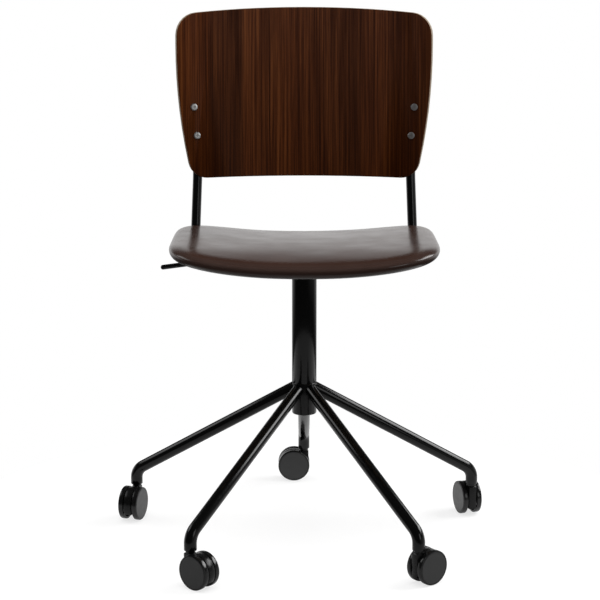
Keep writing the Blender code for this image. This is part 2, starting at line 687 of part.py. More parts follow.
def make_cylinder(seat):
    bore = CYLINDER_RADIUS - CYLINDER_WALL
    bore_top = CONE_BOTTOM - CYLINDER_END_WALL
    pin_hole = PIN_RADIUS + GAP
    cone_top_radius = CYLINDER_RADIUS - GAP - CONE_TAPER
    guide_top = CYLINDER_BOTTOM + ROD_GUIDE_LENGTH
    profile = [
        (pin_hole, CYLINDER_TOP),
        (cone_top_radius, CYLINDER_TOP),
        (CYLINDER_RADIUS - GAP, CONE_BOTTOM),
        (CYLINDER_RADIUS, CONE_BOTTOM - GAP - RUNNING_GAP),
        (CYLINDER_RADIUS, CYLINDER_BOTTOM),
        (bore, CYLINDER_BOTTOM),
        (bore, bore_top),
        (0, bore_top),
    ]
    hole_bottom = CYLINDER_TOP + PIN_RISE - PIN_LENGTH - PIN_SPACE
    profile = [(0, hole_bottom), (pin_hole, hole_bottom), *profile]
    piece("gas_cylinder", turned(profile, ROUND_SIDES), "black_paint", seat)
    profile = [
        (bore - GAP, guide_top),
        (bore - GAP, CYLINDER_BOTTOM),
        (ROD_RADIUS + GAP, CYLINDER_BOTTOM),
        (ROD_RADIUS + GAP, guide_top),
    ]
    piece("rod_guide", turned(profile, SMALL_ROUND_SIDES), "black_plastic", seat)
    pin_top = CYLINDER_TOP + PIN_RISE
    profile = [
        (0, pin_top),
        (PIN_RADIUS - PIN_EDGE, pin_top),
        (PIN_RADIUS, pin_top - PIN_EDGE),
        (PIN_RADIUS, pin_top - PIN_LENGTH),
        (0, pin_top - PIN_LENGTH),
    ]
    piece("release_pin", turned(profile, 16), "steel", seat)


def slanted_box(low, high, rise):
    """A box whose top follows the seat's slope."""
    shape = box(low, high)
    for point in shape.verts:
        if point.co.z > (low[2] + high[2]) / 2:
            point.co.z = rise - SEAT_SLOPE * point.co.y
    return shape


def is_upright(edge):
    first, second = (point.co for point in edge.verts)
    return (first.xy - second.xy).length < 1e-6


def make_housing(seat):
    """The pressed tray under the seat, with the tapered socket that takes the gas cylinder."""
    wall, half = HOUSING_WALL, HOUSING_HALF_WIDTH
    front = FRONT_RAIL_Y - RAIL_WIDTH / 2 - HOUSING_END_MARGIN
    rear = REAR_RAIL_Y + RAIL_WIDTH / 2 + HOUSING_END_MARGIN
    tray = slanted_box((-half, front, HOUSING_BOTTOM), (half, rear, HOUSING_TOP), HOUSING_TOP)
    uprights = [edge for edge in tray.edges if is_upright(edge)]
    bmesh.ops.bevel(tray, geom=uprights, offset=HOUSING_CORNER, segments=3, affect="EDGES", profile=0.5)
    tray = piece("mechanism_housing", tray, "black_paint", seat)
    inside_low = (-half + wall, front + wall, HOUSING_BOTTOM + wall)
    inside_high = (half - wall, rear - wall, HOUSING_TOP + HOUSING_DEPTH)
    inside = cutter("housing_inside", box(inside_low, inside_high), seat)
    opening = cutter("housing_opening", cylinder(CYLINDER_RADIUS + GAP, HOUSING_DEPTH, ROUND_SIDES), seat)
    opening.location.z = HOUSING_BOTTOM
    bracket, *bracket_cuts = lever_bracket(seat)
    boolean(tray, bracket, "UNION")
    low, high = lever_slot()
    slot = cutter("lever_slot", box(low, high), seat)
    for tool in (inside, opening, slot, *bracket_cuts):
        boolean(tray, tool)
    floor = HOUSING_BOTTOM + wall + GAP
    top = CYLINDER_TOP - GAP
    taper = CONE_TAPER / CONE_LENGTH
    bore_at = [CYLINDER_RADIUS - taper * (z - CONE_BOTTOM) for z in (floor, top)]
    profile = [
        (CYLINDER_RADIUS + SOCKET_WALL - SOCKET_EDGE, top),
        (CYLINDER_RADIUS + SOCKET_WALL, top - SOCKET_EDGE),
        (CYLINDER_RADIUS + SOCKET_WALL, floor),
        (bore_at[0] + GAP, floor),
        (bore_at[1] + GAP, top),
    ]
    piece("cylinder_socket", turned(profile, ROUND_SIDES), "steel", seat)


def lever_height(x):
    """Height of the lever's inner run, which falls gently towards the valve pin."""
    return LEVER_BEND_HEIGHT - LEVER_INNER_SLOPE * (x + LEVER_BEND_X)


def lever_slot():
    """The part of the housing's left wall that the lever passes through."""
    half = LEVER_RADIUS + LEVER_SLOT_CLEARANCE
    outside, inside = -HOUSING_HALF_WIDTH - HOUSING_WALL, -HOUSING_HALF_WIDTH + 2 * HOUSING_WALL
    low = (outside, LEVER_Y - half, HOUSING_TOP - LEVER_SLOT_DEPTH)
    high = (inside, LEVER_Y + half, HOUSING_TOP + HOUSING_DEPTH)
    return low, high


def rail_shape(middle_y):
    """A flat bar across the seat, bent to the seat's dish."""
    count = 10
    rings = []
    for i in range(count + 1):
        x = -RAIL_HALF_LENGTH + 2 * RAIL_HALF_LENGTH * i / count
        corners = []
        for side, drop in ((-1, 0), (1, 0), (1, RAIL_THICKNESS), (-1, RAIL_THICKNESS)):
            y = middle_y + side * RAIL_WIDTH / 2
            corners.append((x, y, seat_middle(x, y) - SEAT_THICKNESS / 2 - GAP - drop))
        rings.append(corners)
    return skin(rings)


def make_rails(seat):
    """The rails across the housing, and the screws that hold the seat's shell to them."""
    shell = bpy.data.objects["seat_shell"]
    for name, y in (("front", FRONT_RAIL_Y), ("rear", REAR_RAIL_Y)):
        rail = piece(f"{name}_rail", rail_shape(y), "black_paint", seat)
        for side, x in (("left", -SEAT_SCREW_X), ("right", SEAT_SCREW_X)):
            underside = Vector((x, y, seat_middle(x, y) - SEAT_THICKNESS / 2))
            normal = Vector((-2 * SEAT_DISH * x, SEAT_SLOPE, 1.0)).normalized()
            place = Matrix.Translation(underside) @ normal.to_track_quat("Z", "Y").to_matrix().to_4x4()
            hole = cutter(f"seat_screw_hole_{name}_{side}", seat_screw_shape(GAP), seat, place)
            boolean(rail, hole)
            boolean(shell, hole)
            piece(f"seat_screw_{name}_{side}", seat_screw_shape(0.0), "steel", seat, place)


def seat_screw_shape(clearance):
    """A pan-head screw about Z that points up, or its hole. Zero height is the shell's underside."""
    bottom = -RAIL_THICKNESS - 3 * GAP
    shank = SEAT_SCREW_SHANK_RADIUS + clearance
    tip = SEAT_SCREW_GRIP + clearance
    low = bottom - SEAT_SCREW_HEAD_THICKNESS
    if clearance:
        return turned([(0, low), (shank, low), (shank, tip), (0, tip)], 12)
    head = SEAT_SCREW_HEAD_RADIUS
    profile = [
        (0, low),
        (head * 0.6, low),
        (head, low + SEAT_SCREW_HEAD_THICKNESS * 0.6),
        (head, bottom),
        (shank, bottom),
        (shank, tip - shank),
        (0, tip),
    ]
    return turned(profile, 14)


def make_lever(seat):
    """The height lever, a round bar flattened over the valve pin, on a pivot in its bracket."""
    pivot = Vector((PIVOT_X, LEVER_Y, lever_height(PIVOT_X)))
    hinge = empty("lever_pivot_axis", seat, Matrix.Translation(pivot))
    outer_end = Vector((-LEVER_REACH, LEVER_Y, LEVER_END_HEIGHT))
    bend = Vector((-LEVER_BEND_X, LEVER_Y, LEVER_BEND_HEIGHT))
    tongue_start = -TONGUE_LENGTH + TONGUE_HALF_SPAN
    inner_end = Vector((tongue_start + LEVER_INNER_REACH, LEVER_Y, lever_height(tongue_start)))
    path = rounded([outer_end, bend, inner_end], [0, LEVER_BEND_RADIUS, 0], 4)
    spine = sections([point - pivot for point in path], (0, 1, 0))
    along = (spine[1][0] - spine[0][0]).normalized()
    rings = []
    for back, share in ((0, 0.35), (0.15, 0.68), (0.45, 0.92), (1, 1)):  # the rounded end
        middle = spine[0][0] + along * LEVER_RADIUS * back
        rings.append(ring((middle, *spine[0][1:]), LEVER_RADIUS * share, LEVER_SIDES))
    rings += [ring(section, LEVER_RADIUS, LEVER_SIDES) for section in spine[1:]]
    lever = piece("lever", skin(rings), "black_paint", hinge)
    tongue_bottom = CYLINDER_TOP + PIN_RISE + GAP
    low = Vector((tongue_start, -TONGUE_HALF_SPAN, tongue_bottom)) - pivot
    high = Vector((TONGUE_HALF_SPAN, LEVER_Y + LEVER_RADIUS, tongue_bottom + TONGUE_THICKNESS)) - pivot
    tongue = cutter("lever_tongue", box(low, high), hinge)
    boolean(lever, tongue, "UNION")
    across = Matrix.Rotation(math.radians(90), 4, "X")
    hole = cutter("lever_hole", cylinder(PIVOT_RADIUS + GAP, 4 * LEVER_RADIUS, 12), hinge, across)
    boolean(lever, hole)
    pin_length = 2 * (LEVER_RADIUS + RUNNING_GAP + BRACKET_EAR + PIVOT_PIN_PROUD)
    pin_place = Matrix.Translation(pivot) @ across
    piece("lever_pivot_pin", cylinder(PIVOT_RADIUS, pin_length, 12), "steel", seat, pin_place)


def lever_bracket(seat):
    """The two ears on the housing's left wall, and the trough and pin hole cut between them."""
    pivot = Vector((PIVOT_X, LEVER_Y, lever_height(PIVOT_X)))
    half_gap = LEVER_RADIUS + RUNNING_GAP
    outer = half_gap + BRACKET_EAR
    wall = -HOUSING_HALF_WIDTH
    top = pivot.z + PIVOT_RADIUS + BRACKET_CREST
    low = (wall - BRACKET_OVERHANG, LEVER_Y - outer, HOUSING_BOTTOM + BRACKET_RISE)
    block = cutter("bracket_block", box(low, (wall + HOUSING_WALL / 2, LEVER_Y + outer, top)), seat)
    trough_low = (wall - 2 * BRACKET_OVERHANG, LEVER_Y - half_gap, pivot.z - BRACKET_TROUGH_DEPTH)
    trough_high = (wall + 4 * HOUSING_WALL, LEVER_Y + half_gap, top + HOUSING_DEPTH)
    trough = cutter("bracket_trough", box(trough_low, trough_high), seat)
    across = Matrix.Translation(pivot) @ Matrix.Rotation(math.radians(90), 4, "X")
    hole = cutter("bracket_hole", cylinder(PIVOT_RADIUS + GAP, 4 * outer, 12), seat, across)
    return block, trough, hole


def make_seat(seat):
    """The moulded shell, and the thin upholstered pad that wraps its edge."""
    half = SEAT_THICKNESS / 2
    recess_top = SHELL_THICKNESS - half + 2 * GAP

    def loop(inset, lift, crown=0.0):
        points = []
        for x, y in seat_outline(inset):
            bulge = crown * (1 - (x / SEAT_HALF_WIDTH) ** 2) * (1 - (y / SEAT_REAR) ** 2)
            points.append(Vector((x, y, seat_middle(x, y) + lift + bulge)))
        return points

    rings = [loop(SEAT_HALF_WIDTH * share, half, SEAT_CROWN) for share in PAD_TOP_RINGS]
    steps = 6
    for k in range(steps + 1):
        angle = math.pi / 2 - math.pi * k / steps
        rings.append(loop(-half * math.cos(angle), half * math.sin(angle)))
    rings.append(loop(PAD_RIM, -half))
    rings.append(loop(PAD_RIM, recess_top))
    rings += [loop(SEAT_HALF_WIDTH * share, recess_top) for share in SHELL_RINGS]
    piece("seat_pad", skin(rings), "leather", seat)

    inset = PAD_RIM + 2 * GAP
    shell_top = SHELL_THICKNESS - half
    rings = [loop(SEAT_HALF_WIDTH * share, shell_top) for share in reversed(SHELL_RINGS)]
    rings += [loop(inset, shell_top), loop(inset, -half)]
    rings += [loop(SEAT_HALF_WIDTH * share, -half) for share in SHELL_RINGS]
    piece("seat_shell", skin(rings), "plywood", seat)


def board_point(across, up, out=0.0):
    """A point on the bent board: along its curve, up it, and out from its middle layer."""
    angle = across / BOARD_BEND_RADIUS
    radius = BOARD_BEND_RADIUS + out
    y = radius * math.cos(angle) - BOARD_BEND_RADIUS + up * math.tan(BOARD_RECLINE)
    return Vector((radius * math.sin(angle), BOARD_BOTTOM_Y + y, BOARD_BOTTOM_HEIGHT + up))


def board_outline():
    """Half of the board's outline, from the middle of its foot to the middle of its top."""
    crown_x = (BOARD_TOP_HALF_WIDTH - BOARD_TOP_CORNER) * BOARD_CROWN_PLACE
    crown_turn = math.atan2(BOARD_CROWN, BOARD_TOP_HALF_WIDTH - crown_x)
    crown_radius = crown_x * BOARD_CROWN_SPREAD / math.tan(crown_turn / 2)
    corners = [
        Vector((0.0, 0.0)),
        Vector((BOARD_FOOT_HALF_WIDTH, 0.0)),
        Vector((BOARD_TOP_HALF_WIDTH, BOARD_WAIST)),
        Vector((BOARD_TOP_HALF_WIDTH, BOARD_HEIGHT - BOARD_CROWN)),
        Vector((crown_x, BOARD_HEIGHT)),
        Vector((0.0, BOARD_HEIGHT)),
    ]
    radii = [0, BOARD_FOOT_CORNER, BOARD_SIDE_RADIUS, BOARD_TOP_CORNER, crown_radius, 0]
    return rounded(corners, radii, 7)


def board_shape():
    """The board: its outline is bevelled and sliced flat, and then bent to its radius."""
    half = board_outline()
    outline = half + [Vector((-point.x, point.y)) for point in reversed(half[1:-1])]
    shape = bmesh.new()
    front = -BOARD_THICKNESS / 2
    face = shape.faces.new([shape.verts.new((point.x, front, point.y)) for point in outline])
    moved = bmesh.ops.extrude_face_region(shape, geom=[face])["geom"]
    points = [item for item in moved if isinstance(item, bmesh.types.BMVert)]
    bmesh.ops.translate(shape, verts=points, vec=(0, BOARD_THICKNESS, 0))
    rims = [edge for edge in shape.edges if abs(edge.verts[0].co.y - edge.verts[1].co.y) < 1e-6]
    bmesh.ops.bevel(shape, geom=rims, offset=BOARD_EDGE, segments=1, affect="EDGES", profile=0.5)
    for i in range(1, BOARD_STRIPS):
        x = BOARD_TOP_HALF_WIDTH * (2 * i / BOARD_STRIPS - 1)
        everything = shape.verts[:] + shape.edges[:] + shape.faces[:]
        bmesh.ops.bisect_plane(shape, geom=everything, plane_co=(x, 0, 0), plane_no=(1, 0, 0), dist=1e-6)
    bmesh.ops.triangulate(shape, faces=shape.faces)
    for point in shape.verts:
        point.co = board_point(point.co.x, point.co.z, point.co.y)
    return shape


def screw_places(side):
    """Middle layer point and outward direction of the lower and upper screw on one side."""
    spots = ((LOWER_SCREW_ACROSS, LOWER_SCREW_UP), (UPPER_SCREW_ACROSS, UPPER_SCREW_UP))
    found = []
    for across, up in spots:
        angle = side * across / BOARD_BEND_RADIUS
        lean = math.cos(angle) * math.tan(BOARD_RECLINE)
        outwards = Vector((math.sin(angle), math.cos(angle), -lean)).normalized()
        found.append((board_point(side * across, up), outwards))
    return found


def post_path(side):
    """Centre line of one back post, from the mechanism housing to its end behind the board."""
    reach = BOARD_THICKNESS / 2 + GAP + POST_RADIUS
    lower, upper = (middle + outwards * reach for middle, outwards in screw_places(side))
    along = (upper - lower).normalized()
    knee = lower - along * POST_KNEE_DROP
    end = upper + along * POST_END_RISE
    run_height = post_run_height()
    corners = [
        Vector((side * (HOUSING_HALF_WIDTH + GAP), POST_START_Y, run_height)),
        Vector((side * POST_ELBOW_X, POST_START_Y, run_height)),
        Vector((side * POST_REAR_X, POST_REAR_Y, run_height)),
        knee,
        end,
    ]
    radii = [0, POST_BEND_RADIUS, POST_BEND_RADIUS, POST_KNEE_RADIUS, 0]
    return rounded(corners, radii, 4)


def post_run_height():
    """Height of the posts' run under the seat, which the rear rail rests on."""
    rail_rear = REAR_RAIL_Y + RAIL_WIDTH / 2
    return HOUSING_TOP - SEAT_SLOPE * rail_rear - POST_RADIUS


def make_posts(seat):
    for name, side in (("left", -1), ("right", 1)):
        spine = sections(post_path(side), (0, 0, 1))
        outer = [ring(section, POST_RADIUS, POST_SIDES) for section in spine]
        inner = [ring(section, POST_RADIUS - POST_WALL, POST_SIDES) for section in spine]
        end_middle, *end_directions = spine[-1]
        towards_end = (spine[-1][0] - spine[-2][0]).normalized()
        blind_end = (end_middle - towards_end * POST_END_WALL, *end_directions)
        inner[-1] = ring(blind_end, POST_RADIUS - POST_WALL, POST_SIDES)
        edge_start = (end_middle - towards_end * POST_EDGE, *end_directions)
        outer[-1] = ring(edge_start, POST_RADIUS, POST_SIDES)
        outer.append(ring(spine[-1], POST_RADIUS - POST_EDGE, POST_SIDES))
        post = piece(f"back_post_{name}", skin([*reversed(inner), *outer]), "black_paint", seat)
        for level, (middle, outwards) in zip(("lower", "upper"), screw_places(side)):
            turn = (-outwards).to_track_quat("Z", "Y").to_matrix().to_4x4()
            place = Matrix.Translation(middle) @ turn
            drill = cylinder(SCREW_SHANK_RADIUS + GAP, 2 * SCREW_LENGTH, 12)
            hole = cutter(f"screw_hole_{level}_{name}", drill, seat, place)
            boolean(post, hole)
            boolean(bpy.data.objects["back_board"], hole)
            screw = piece(f"back_screw_{level}_{name}", screw_shape(), "steel", seat, place)
            socket = cutter(f"screw_socket_{level}_{name}", screw_socket(), seat, place)
            boolean(screw, socket)


def screw_shape():
    """A low round screw about Z: its head lies on the board's front, its shank in the post."""
    seat_height = BOARD_THICKNESS / 2 + GAP
    top = seat_height + SCREW_HEAD_THICKNESS
    tip = top - SCREW_LENGTH
    profile = [
        (0, top),
        (SCREW_HEAD_RADIUS * 0.72, top),
        (SCREW_HEAD_RADIUS * 0.94, top - SCREW_HEAD_THICKNESS * 0.30),
        (SCREW_HEAD_RADIUS, top - SCREW_HEAD_THICKNESS * 0.65),
        (SCREW_HEAD_RADIUS, seat_height),
        (SCREW_SHANK_RADIUS, seat_height),
        (SCREW_SHANK_RADIUS, tip),
        (0, tip),
    ]
    return turned(profile, 16)


def screw_socket():
    top = BOARD_THICKNESS / 2 + GAP + SCREW_HEAD_THICKNESS
    low, high = top - SCREW_HEX_DEPTH, top + SCREW_HEX_DEPTH
    return turned([(0, high), (SCREW_HEX_RADIUS, high), (SCREW_HEX_RADIUS, low), (0, low)], 6)


def centre_footprint(chair):
    """Moves the chair so that the middle of its footprint lies over the origin."""
    bpy.context.view_layer.update()
    graph = bpy.context.evaluated_depsgraph_get()
    corners = []
    for item in bpy.data.objects:
        if item.type == "MESH" and not item.hide_render:
            solid = item.evaluated_get(graph)
            corners += [solid.matrix_world @ Vector(corner) for corner in solid.bound_box]
    for axis in (0, 1):
        values = [corner[axis] for corner in corners]
        chair.location[axis] = -(min(values) + max(values)) / 2


def build():
    for item in list(bpy.data.objects):
        bpy.data.objects.remove(item, do_unlink=True)
    chair = empty("chair")
    make_hub(chair)
    make_legs(chair)
    make_casters(chair)
    make_column(chair)
    swivel = empty("seat_swivel_axis", chair)
    make_rod(swivel)
    seat = empty("seat_height_axis", swivel)
    make_cylinder(seat)
    make_housing(seat)
    make_lever(seat)
    make_seat(seat)
    make_rails(seat)
    piece("back_board", board_shape(), "walnut", seat)
    make_posts(seat)
    centre_footprint(chair)


build()
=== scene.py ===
import json
import math

import bpy
from mathutils import Matrix, Vector, noise


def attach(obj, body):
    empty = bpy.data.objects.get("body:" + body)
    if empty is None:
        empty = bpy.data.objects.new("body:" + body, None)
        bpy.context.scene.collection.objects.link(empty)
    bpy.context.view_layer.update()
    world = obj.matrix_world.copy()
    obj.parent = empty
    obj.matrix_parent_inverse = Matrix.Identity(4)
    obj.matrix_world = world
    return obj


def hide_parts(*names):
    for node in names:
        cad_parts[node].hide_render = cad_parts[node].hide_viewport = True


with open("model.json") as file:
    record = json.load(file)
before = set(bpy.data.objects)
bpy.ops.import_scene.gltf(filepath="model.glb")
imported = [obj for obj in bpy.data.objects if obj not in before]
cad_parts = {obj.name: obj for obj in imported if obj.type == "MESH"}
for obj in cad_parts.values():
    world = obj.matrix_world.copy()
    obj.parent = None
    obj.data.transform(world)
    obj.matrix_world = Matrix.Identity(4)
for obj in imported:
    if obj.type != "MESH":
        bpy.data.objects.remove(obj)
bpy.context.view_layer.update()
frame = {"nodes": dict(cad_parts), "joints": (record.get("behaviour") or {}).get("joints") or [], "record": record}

# The chair as it is photographed: walnut back, brown leather seat, black steel and black casters.
# Sizes are metres. They are measured from the swivel's axis on the floor, and each piece is
# moved to that axis when it is done.

SWIVEL = next(joint for joint in frame["joints"] if joint["name"] == "seat_swivel")
AXIS = Vector((SWIVEL["pos_m"][0], SWIVEL["pos_m"][1], 0.0))

LEG_AZIMUTHS = {
    "rear": 90.0,
    "mid_left": 162.0,
    "mid_right": 18.0,
    "front_left": 234.0,
    "front_right": 306.0,
}
TRAIL_AZIMUTHS = {
    "rear": 180.0,
    "mid_left": 252.0,
    "mid_right": 107.0,
    "front_left": 320.0,
    "front_right": 39.0,
}
GAP = 0.0003  # between two pieces that touch
LEG_CIRCLE = 0.3000
LEG_RADIUS = 0.0100
LEG_FOOT = 0.0572
LEG_BEND_HEIGHT = 0.0820
LEG_BEND_RADIUS = 0.0250
LEG_APEX = 0.2610
HUB_RADIUS = 0.0200
HUB_BOTTOM = 0.2085
HUB_TOP = 0.2615
HUB_BORE_TOP = 0.0171
HUB_BORE_FOOT = 0.0165
COLUMN_FOOT = 0.2165
COLUMN_TOP = 0.4390
COLUMN_BORE = 0.0180
COLUMN_FLOOR = 0.0030
SPIGOT_TOP = 0.0168  # radius of the column's tapered foot, at its wide end
SPIGOT_FOOT = 0.0162
SPIGOT_BORE = 0.0146
ROD_HOLE = 0.0044
CASTER_TRAIL = 0.0180
WHEEL_RADIUS = 0.0280
WHEEL_WIDTH = 0.0086
WHEEL_OUTER_WALL = 0.0022
WHEEL_BOSS = 0.0064
WHEEL_RECESS = 0.0040
WHEEL_RIM = 0.0034
AXLE_HOLE = 0.0033
WHEEL_INNER_FACE = 0.00795  # from the middle of the hood

SEAT_HALF_WIDTH = 0.2030
SEAT_FRONT = 0.2000
SEAT_REAR = 0.2000
SEAT_WIDEST = -0.0200
SEAT_FRONT_EXPONENT = 4.0
SEAT_REAR_EXPONENT = 5.4
SEAT_HEIGHT = 0.4752
SEAT_SLOPE = 0.0567
SEAT_DISH = 0.45
SEAT_THICKNESS = 0.0220
SEAT_CROWN = 0.0085
SEAT_ROLL = 0.0420  # how far in from the outermost line the top is rounded off
SEAT_ROLL_POWER = 3.4  # a higher power gives a fuller nose
SEAT_RIM = 0.0140

BOARD_BEND_RADIUS = 0.6000
BOARD_THICKNESS = 0.0100
BOARD_BOTTOM_Y = 0.2276
BOARD_BOTTOM_HEIGHT = 0.5664
BOARD_RECLINE = math.radians(10.0)

POST_RADIUS = 0.0080
POST_START_X = 0.0283
POST_START_Y = 0.0450
POST_RUN_HEIGHT = 0.4469
POST_ELBOW_X = 0.0700
POST_REAR = Vector((0.1868, 0.2000, POST_RUN_HEIGHT))
POST_BEND_RADIUS = 0.0350
POST_KNEE_RADIUS = 0.2500
POST_KNEE_DROP = 0.0550
POST_END_RISE = 0.0260
SCREWS = {"lower": (0.1864, 0.0707), "upper": (0.1918, 0.1184)}
SCREW_HEAD_RADIUS = 0.0060
SCREW_HEAD_THICKNESS = 0.0022
SCREW_SHANK_RADIUS = 0.0025
SCREW_SHANK_LENGTH = 0.0140
SCREW_HEX_RADIUS = 0.0021
SCREW_HEX_DEPTH = 0.0015

PHOTO_WIDTH = 600  # pixels
FOCAL_LENGTH = 2033  # pixels
CAMERA_DISTANCE = 3.222
CAMERA_HEIGHT = 1.1275
CAMERA_SHIFT = -0.007  # to the left of the swivel's axis
CAMERA_TILT = math.radians(12.75)  # downwards
LIGHTS_AIM = Vector((0, 0, 0.4))
FLOOR_RADIUS = 0.62

# Share of the board's width, and how light its veneer is there
WALNUT_BANDS = (
    (0.00, 1.00),
    (0.13, 1.00),
    (0.16, 0.60),
    (0.27, 0.50),
    (0.29, 0.78),
    (0.38, 0.66),
    (0.47, 0.84),
    (0.60, 0.66),
    (0.71, 0.58),
    (0.75, 0.80),
    (0.81, 0.80),
    (0.86, 0.66),
    (1.00, 0.56),
)


# Shaping by hand

def nothing_selected():
    if bpy.context.object and bpy.context.object.mode != "OBJECT":
        bpy.ops.object.mode_set(mode="OBJECT")
    bpy.ops.object.select_all(action="DESELECT")


def hold(piece):
    nothing_selected()
    piece.select_set(True)
    bpy.context.view_layer.objects.active = piece


def shape(piece):
    hold(piece)
    bpy.ops.object.mode_set(mode="EDIT")
    bpy.ops.mesh.select_all(action="SELECT")


def apply_place(piece):
    hold(piece)
    bpy.ops.object.transform_apply(location=True, rotation=True, scale=True)


def close_up(piece, name):
    """Fills the open ends, turns the faces outwards and leaves edit mode."""
    bpy.ops.mesh.select_all(action="SELECT")
    bpy.ops.mesh.remove_doubles(threshold=1e-6)
    bpy.ops.mesh.fill_holes(sides=0)
    bpy.ops.mesh.select_all(action="SELECT")
    bpy.ops.mesh.normals_make_consistent(inside=False)
    bpy.ops.object.mode_set(mode="OBJECT")
    piece.name = name
    piece.data.name = name
    return piece


def grow(move, size, about):
    """Extrudes the selected ring by a move, and then widens or narrows it."""
    bpy.ops.mesh.extrude_region_move(TRANSFORM_OT_translate={"value": tuple(move)})
    if abs(size - 1.0) > 1e-6:
        bpy.ops.transform.resize(value=(size, size, size), center_override=tuple(about))


def turned(name, profile, sides=64):
    """A turned piece about Z, grown ring by ring along its (radius, height) profile."""
    nothing_selected()
    radius, height = profile[0]
    bpy.ops.mesh.primitive_circle_add(vertices=sides, radius=radius, location=(0, 0, height))
    piece = bpy.context.object
    apply_place(piece)
    shape(piece)
    for (radius, height), (next_radius, next_height) in zip(profile, profile[1:]):
        grow((0, 0, next_height - height), next_radius / radius, (0, 0, next_height))
    return close_up(piece, name)


def pipe(name, corners, radii, radius, edge=0.0010, sides=32, steps=12):
    """A round tube along straight runs with a bend at each corner, and softly rounded ends."""
    first = (corners[1] - corners[0]).normalized()
    nothing_selected()
    bpy.ops.mesh.primitive_circle_add(
        vertices=sides,
        radius=radius - edge,
        location=corners[0],
        rotation=first.to_track_quat("Z", "Y").to_euler(),
    )
    piece = bpy.context.object
    apply_place(piece)
    shape(piece)
    at = corners[0] + first * edge * 0.3
    grow(first * edge * 0.3, (radius - edge * 0.3) / (radius - edge), at)
    grow(first * edge * 0.7, radius / (radius - edge * 0.3), at + first * edge * 0.7)
    at = at + first * edge * 0.7
    for i in range(1, len(corners) - 1):
        back = (corners[i - 1] - corners[i]).normalized()
        ahead = (corners[i + 1] - corners[i]).normalized()
        turn = math.pi - back.angle(ahead)
        reach = radii[i] * math.tan(turn / 2)
        bend_start = corners[i] + back * reach
        grow(bend_start - at, 1.0, bend_start)
        middle = corners[i] + (back + ahead).normalized() * radii[i] / math.cos(turn / 2)
        axis = (-back).cross(ahead).normalized()
        bpy.ops.mesh.spin(steps=steps, angle=-turn, center=tuple(middle), axis=tuple(axis))
        at = corners[i] + ahead * reach
    last = (corners[-1] - corners[-2]).normalized()
    near_end = corners[-1] - last * edge
    grow(near_end - at, 1.0, near_end)
    grow(last * edge * 0.7, (radius - edge * 0.3) / radius, near_end + last * edge * 0.7)
    grow(last * edge * 0.3, (radius - edge) / (radius - edge * 0.3), corners[-1])
    return close_up(piece, name)


def copy_of(piece, name):
    """A copy with its own mesh."""
    hold(piece)
    bpy.ops.object.duplicate(linked=False)
    made = bpy.context.object
    made.name = name
    made.data.name = name
    return made


def of_node(node, name):
    """A copy of a CAD node with its loose triangles merged into clean faces."""
    made = copy_of(frame["nodes"][node], name)
    for key in list(made.keys()):
        del made[key]
    made.parent = None
    made.data.materials.clear()
    shape(made)
    bpy.ops.mesh.remove_doubles(threshold=1e-5)
    bpy.ops.mesh.dissolve_limited(angle_limit=math.radians(0.5))
    bpy.ops.mesh.normals_make_consistent(inside=False)
    bpy.ops.object.mode_set(mode="OBJECT")
    return made


def put(piece, place):
    """Moves a piece to its place and keeps the place in its mesh."""
    piece.matrix_world = place @ piece.matrix_world
    apply_place(piece)
    return piece


def bevelled(piece, width, segments=2, angle=35.0):
    hold(piece)
    edge = piece.modifiers.new("soft edges", "BEVEL")
    edge.width = width
    edge.segments = segments
    edge.limit_method = "ANGLE"
    edge.angle_limit = math.radians(angle)
    bpy.ops.object.modifier_apply(modifier=edge.name)
    return piece


def done(piece, material, body, slot, *nodes, smooth=35.0):
    """Shades a finished piece, gives it its material and lets it ride on its body."""
    hold(piece)
    bpy.ops.object.shade_smooth_by_angle(angle=math.radians(smooth))
    if not piece.data.materials:
        piece.data.materials.append(material)
    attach(piece, body)
    if nodes:
        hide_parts(*nodes)
    return piece


# Finishes

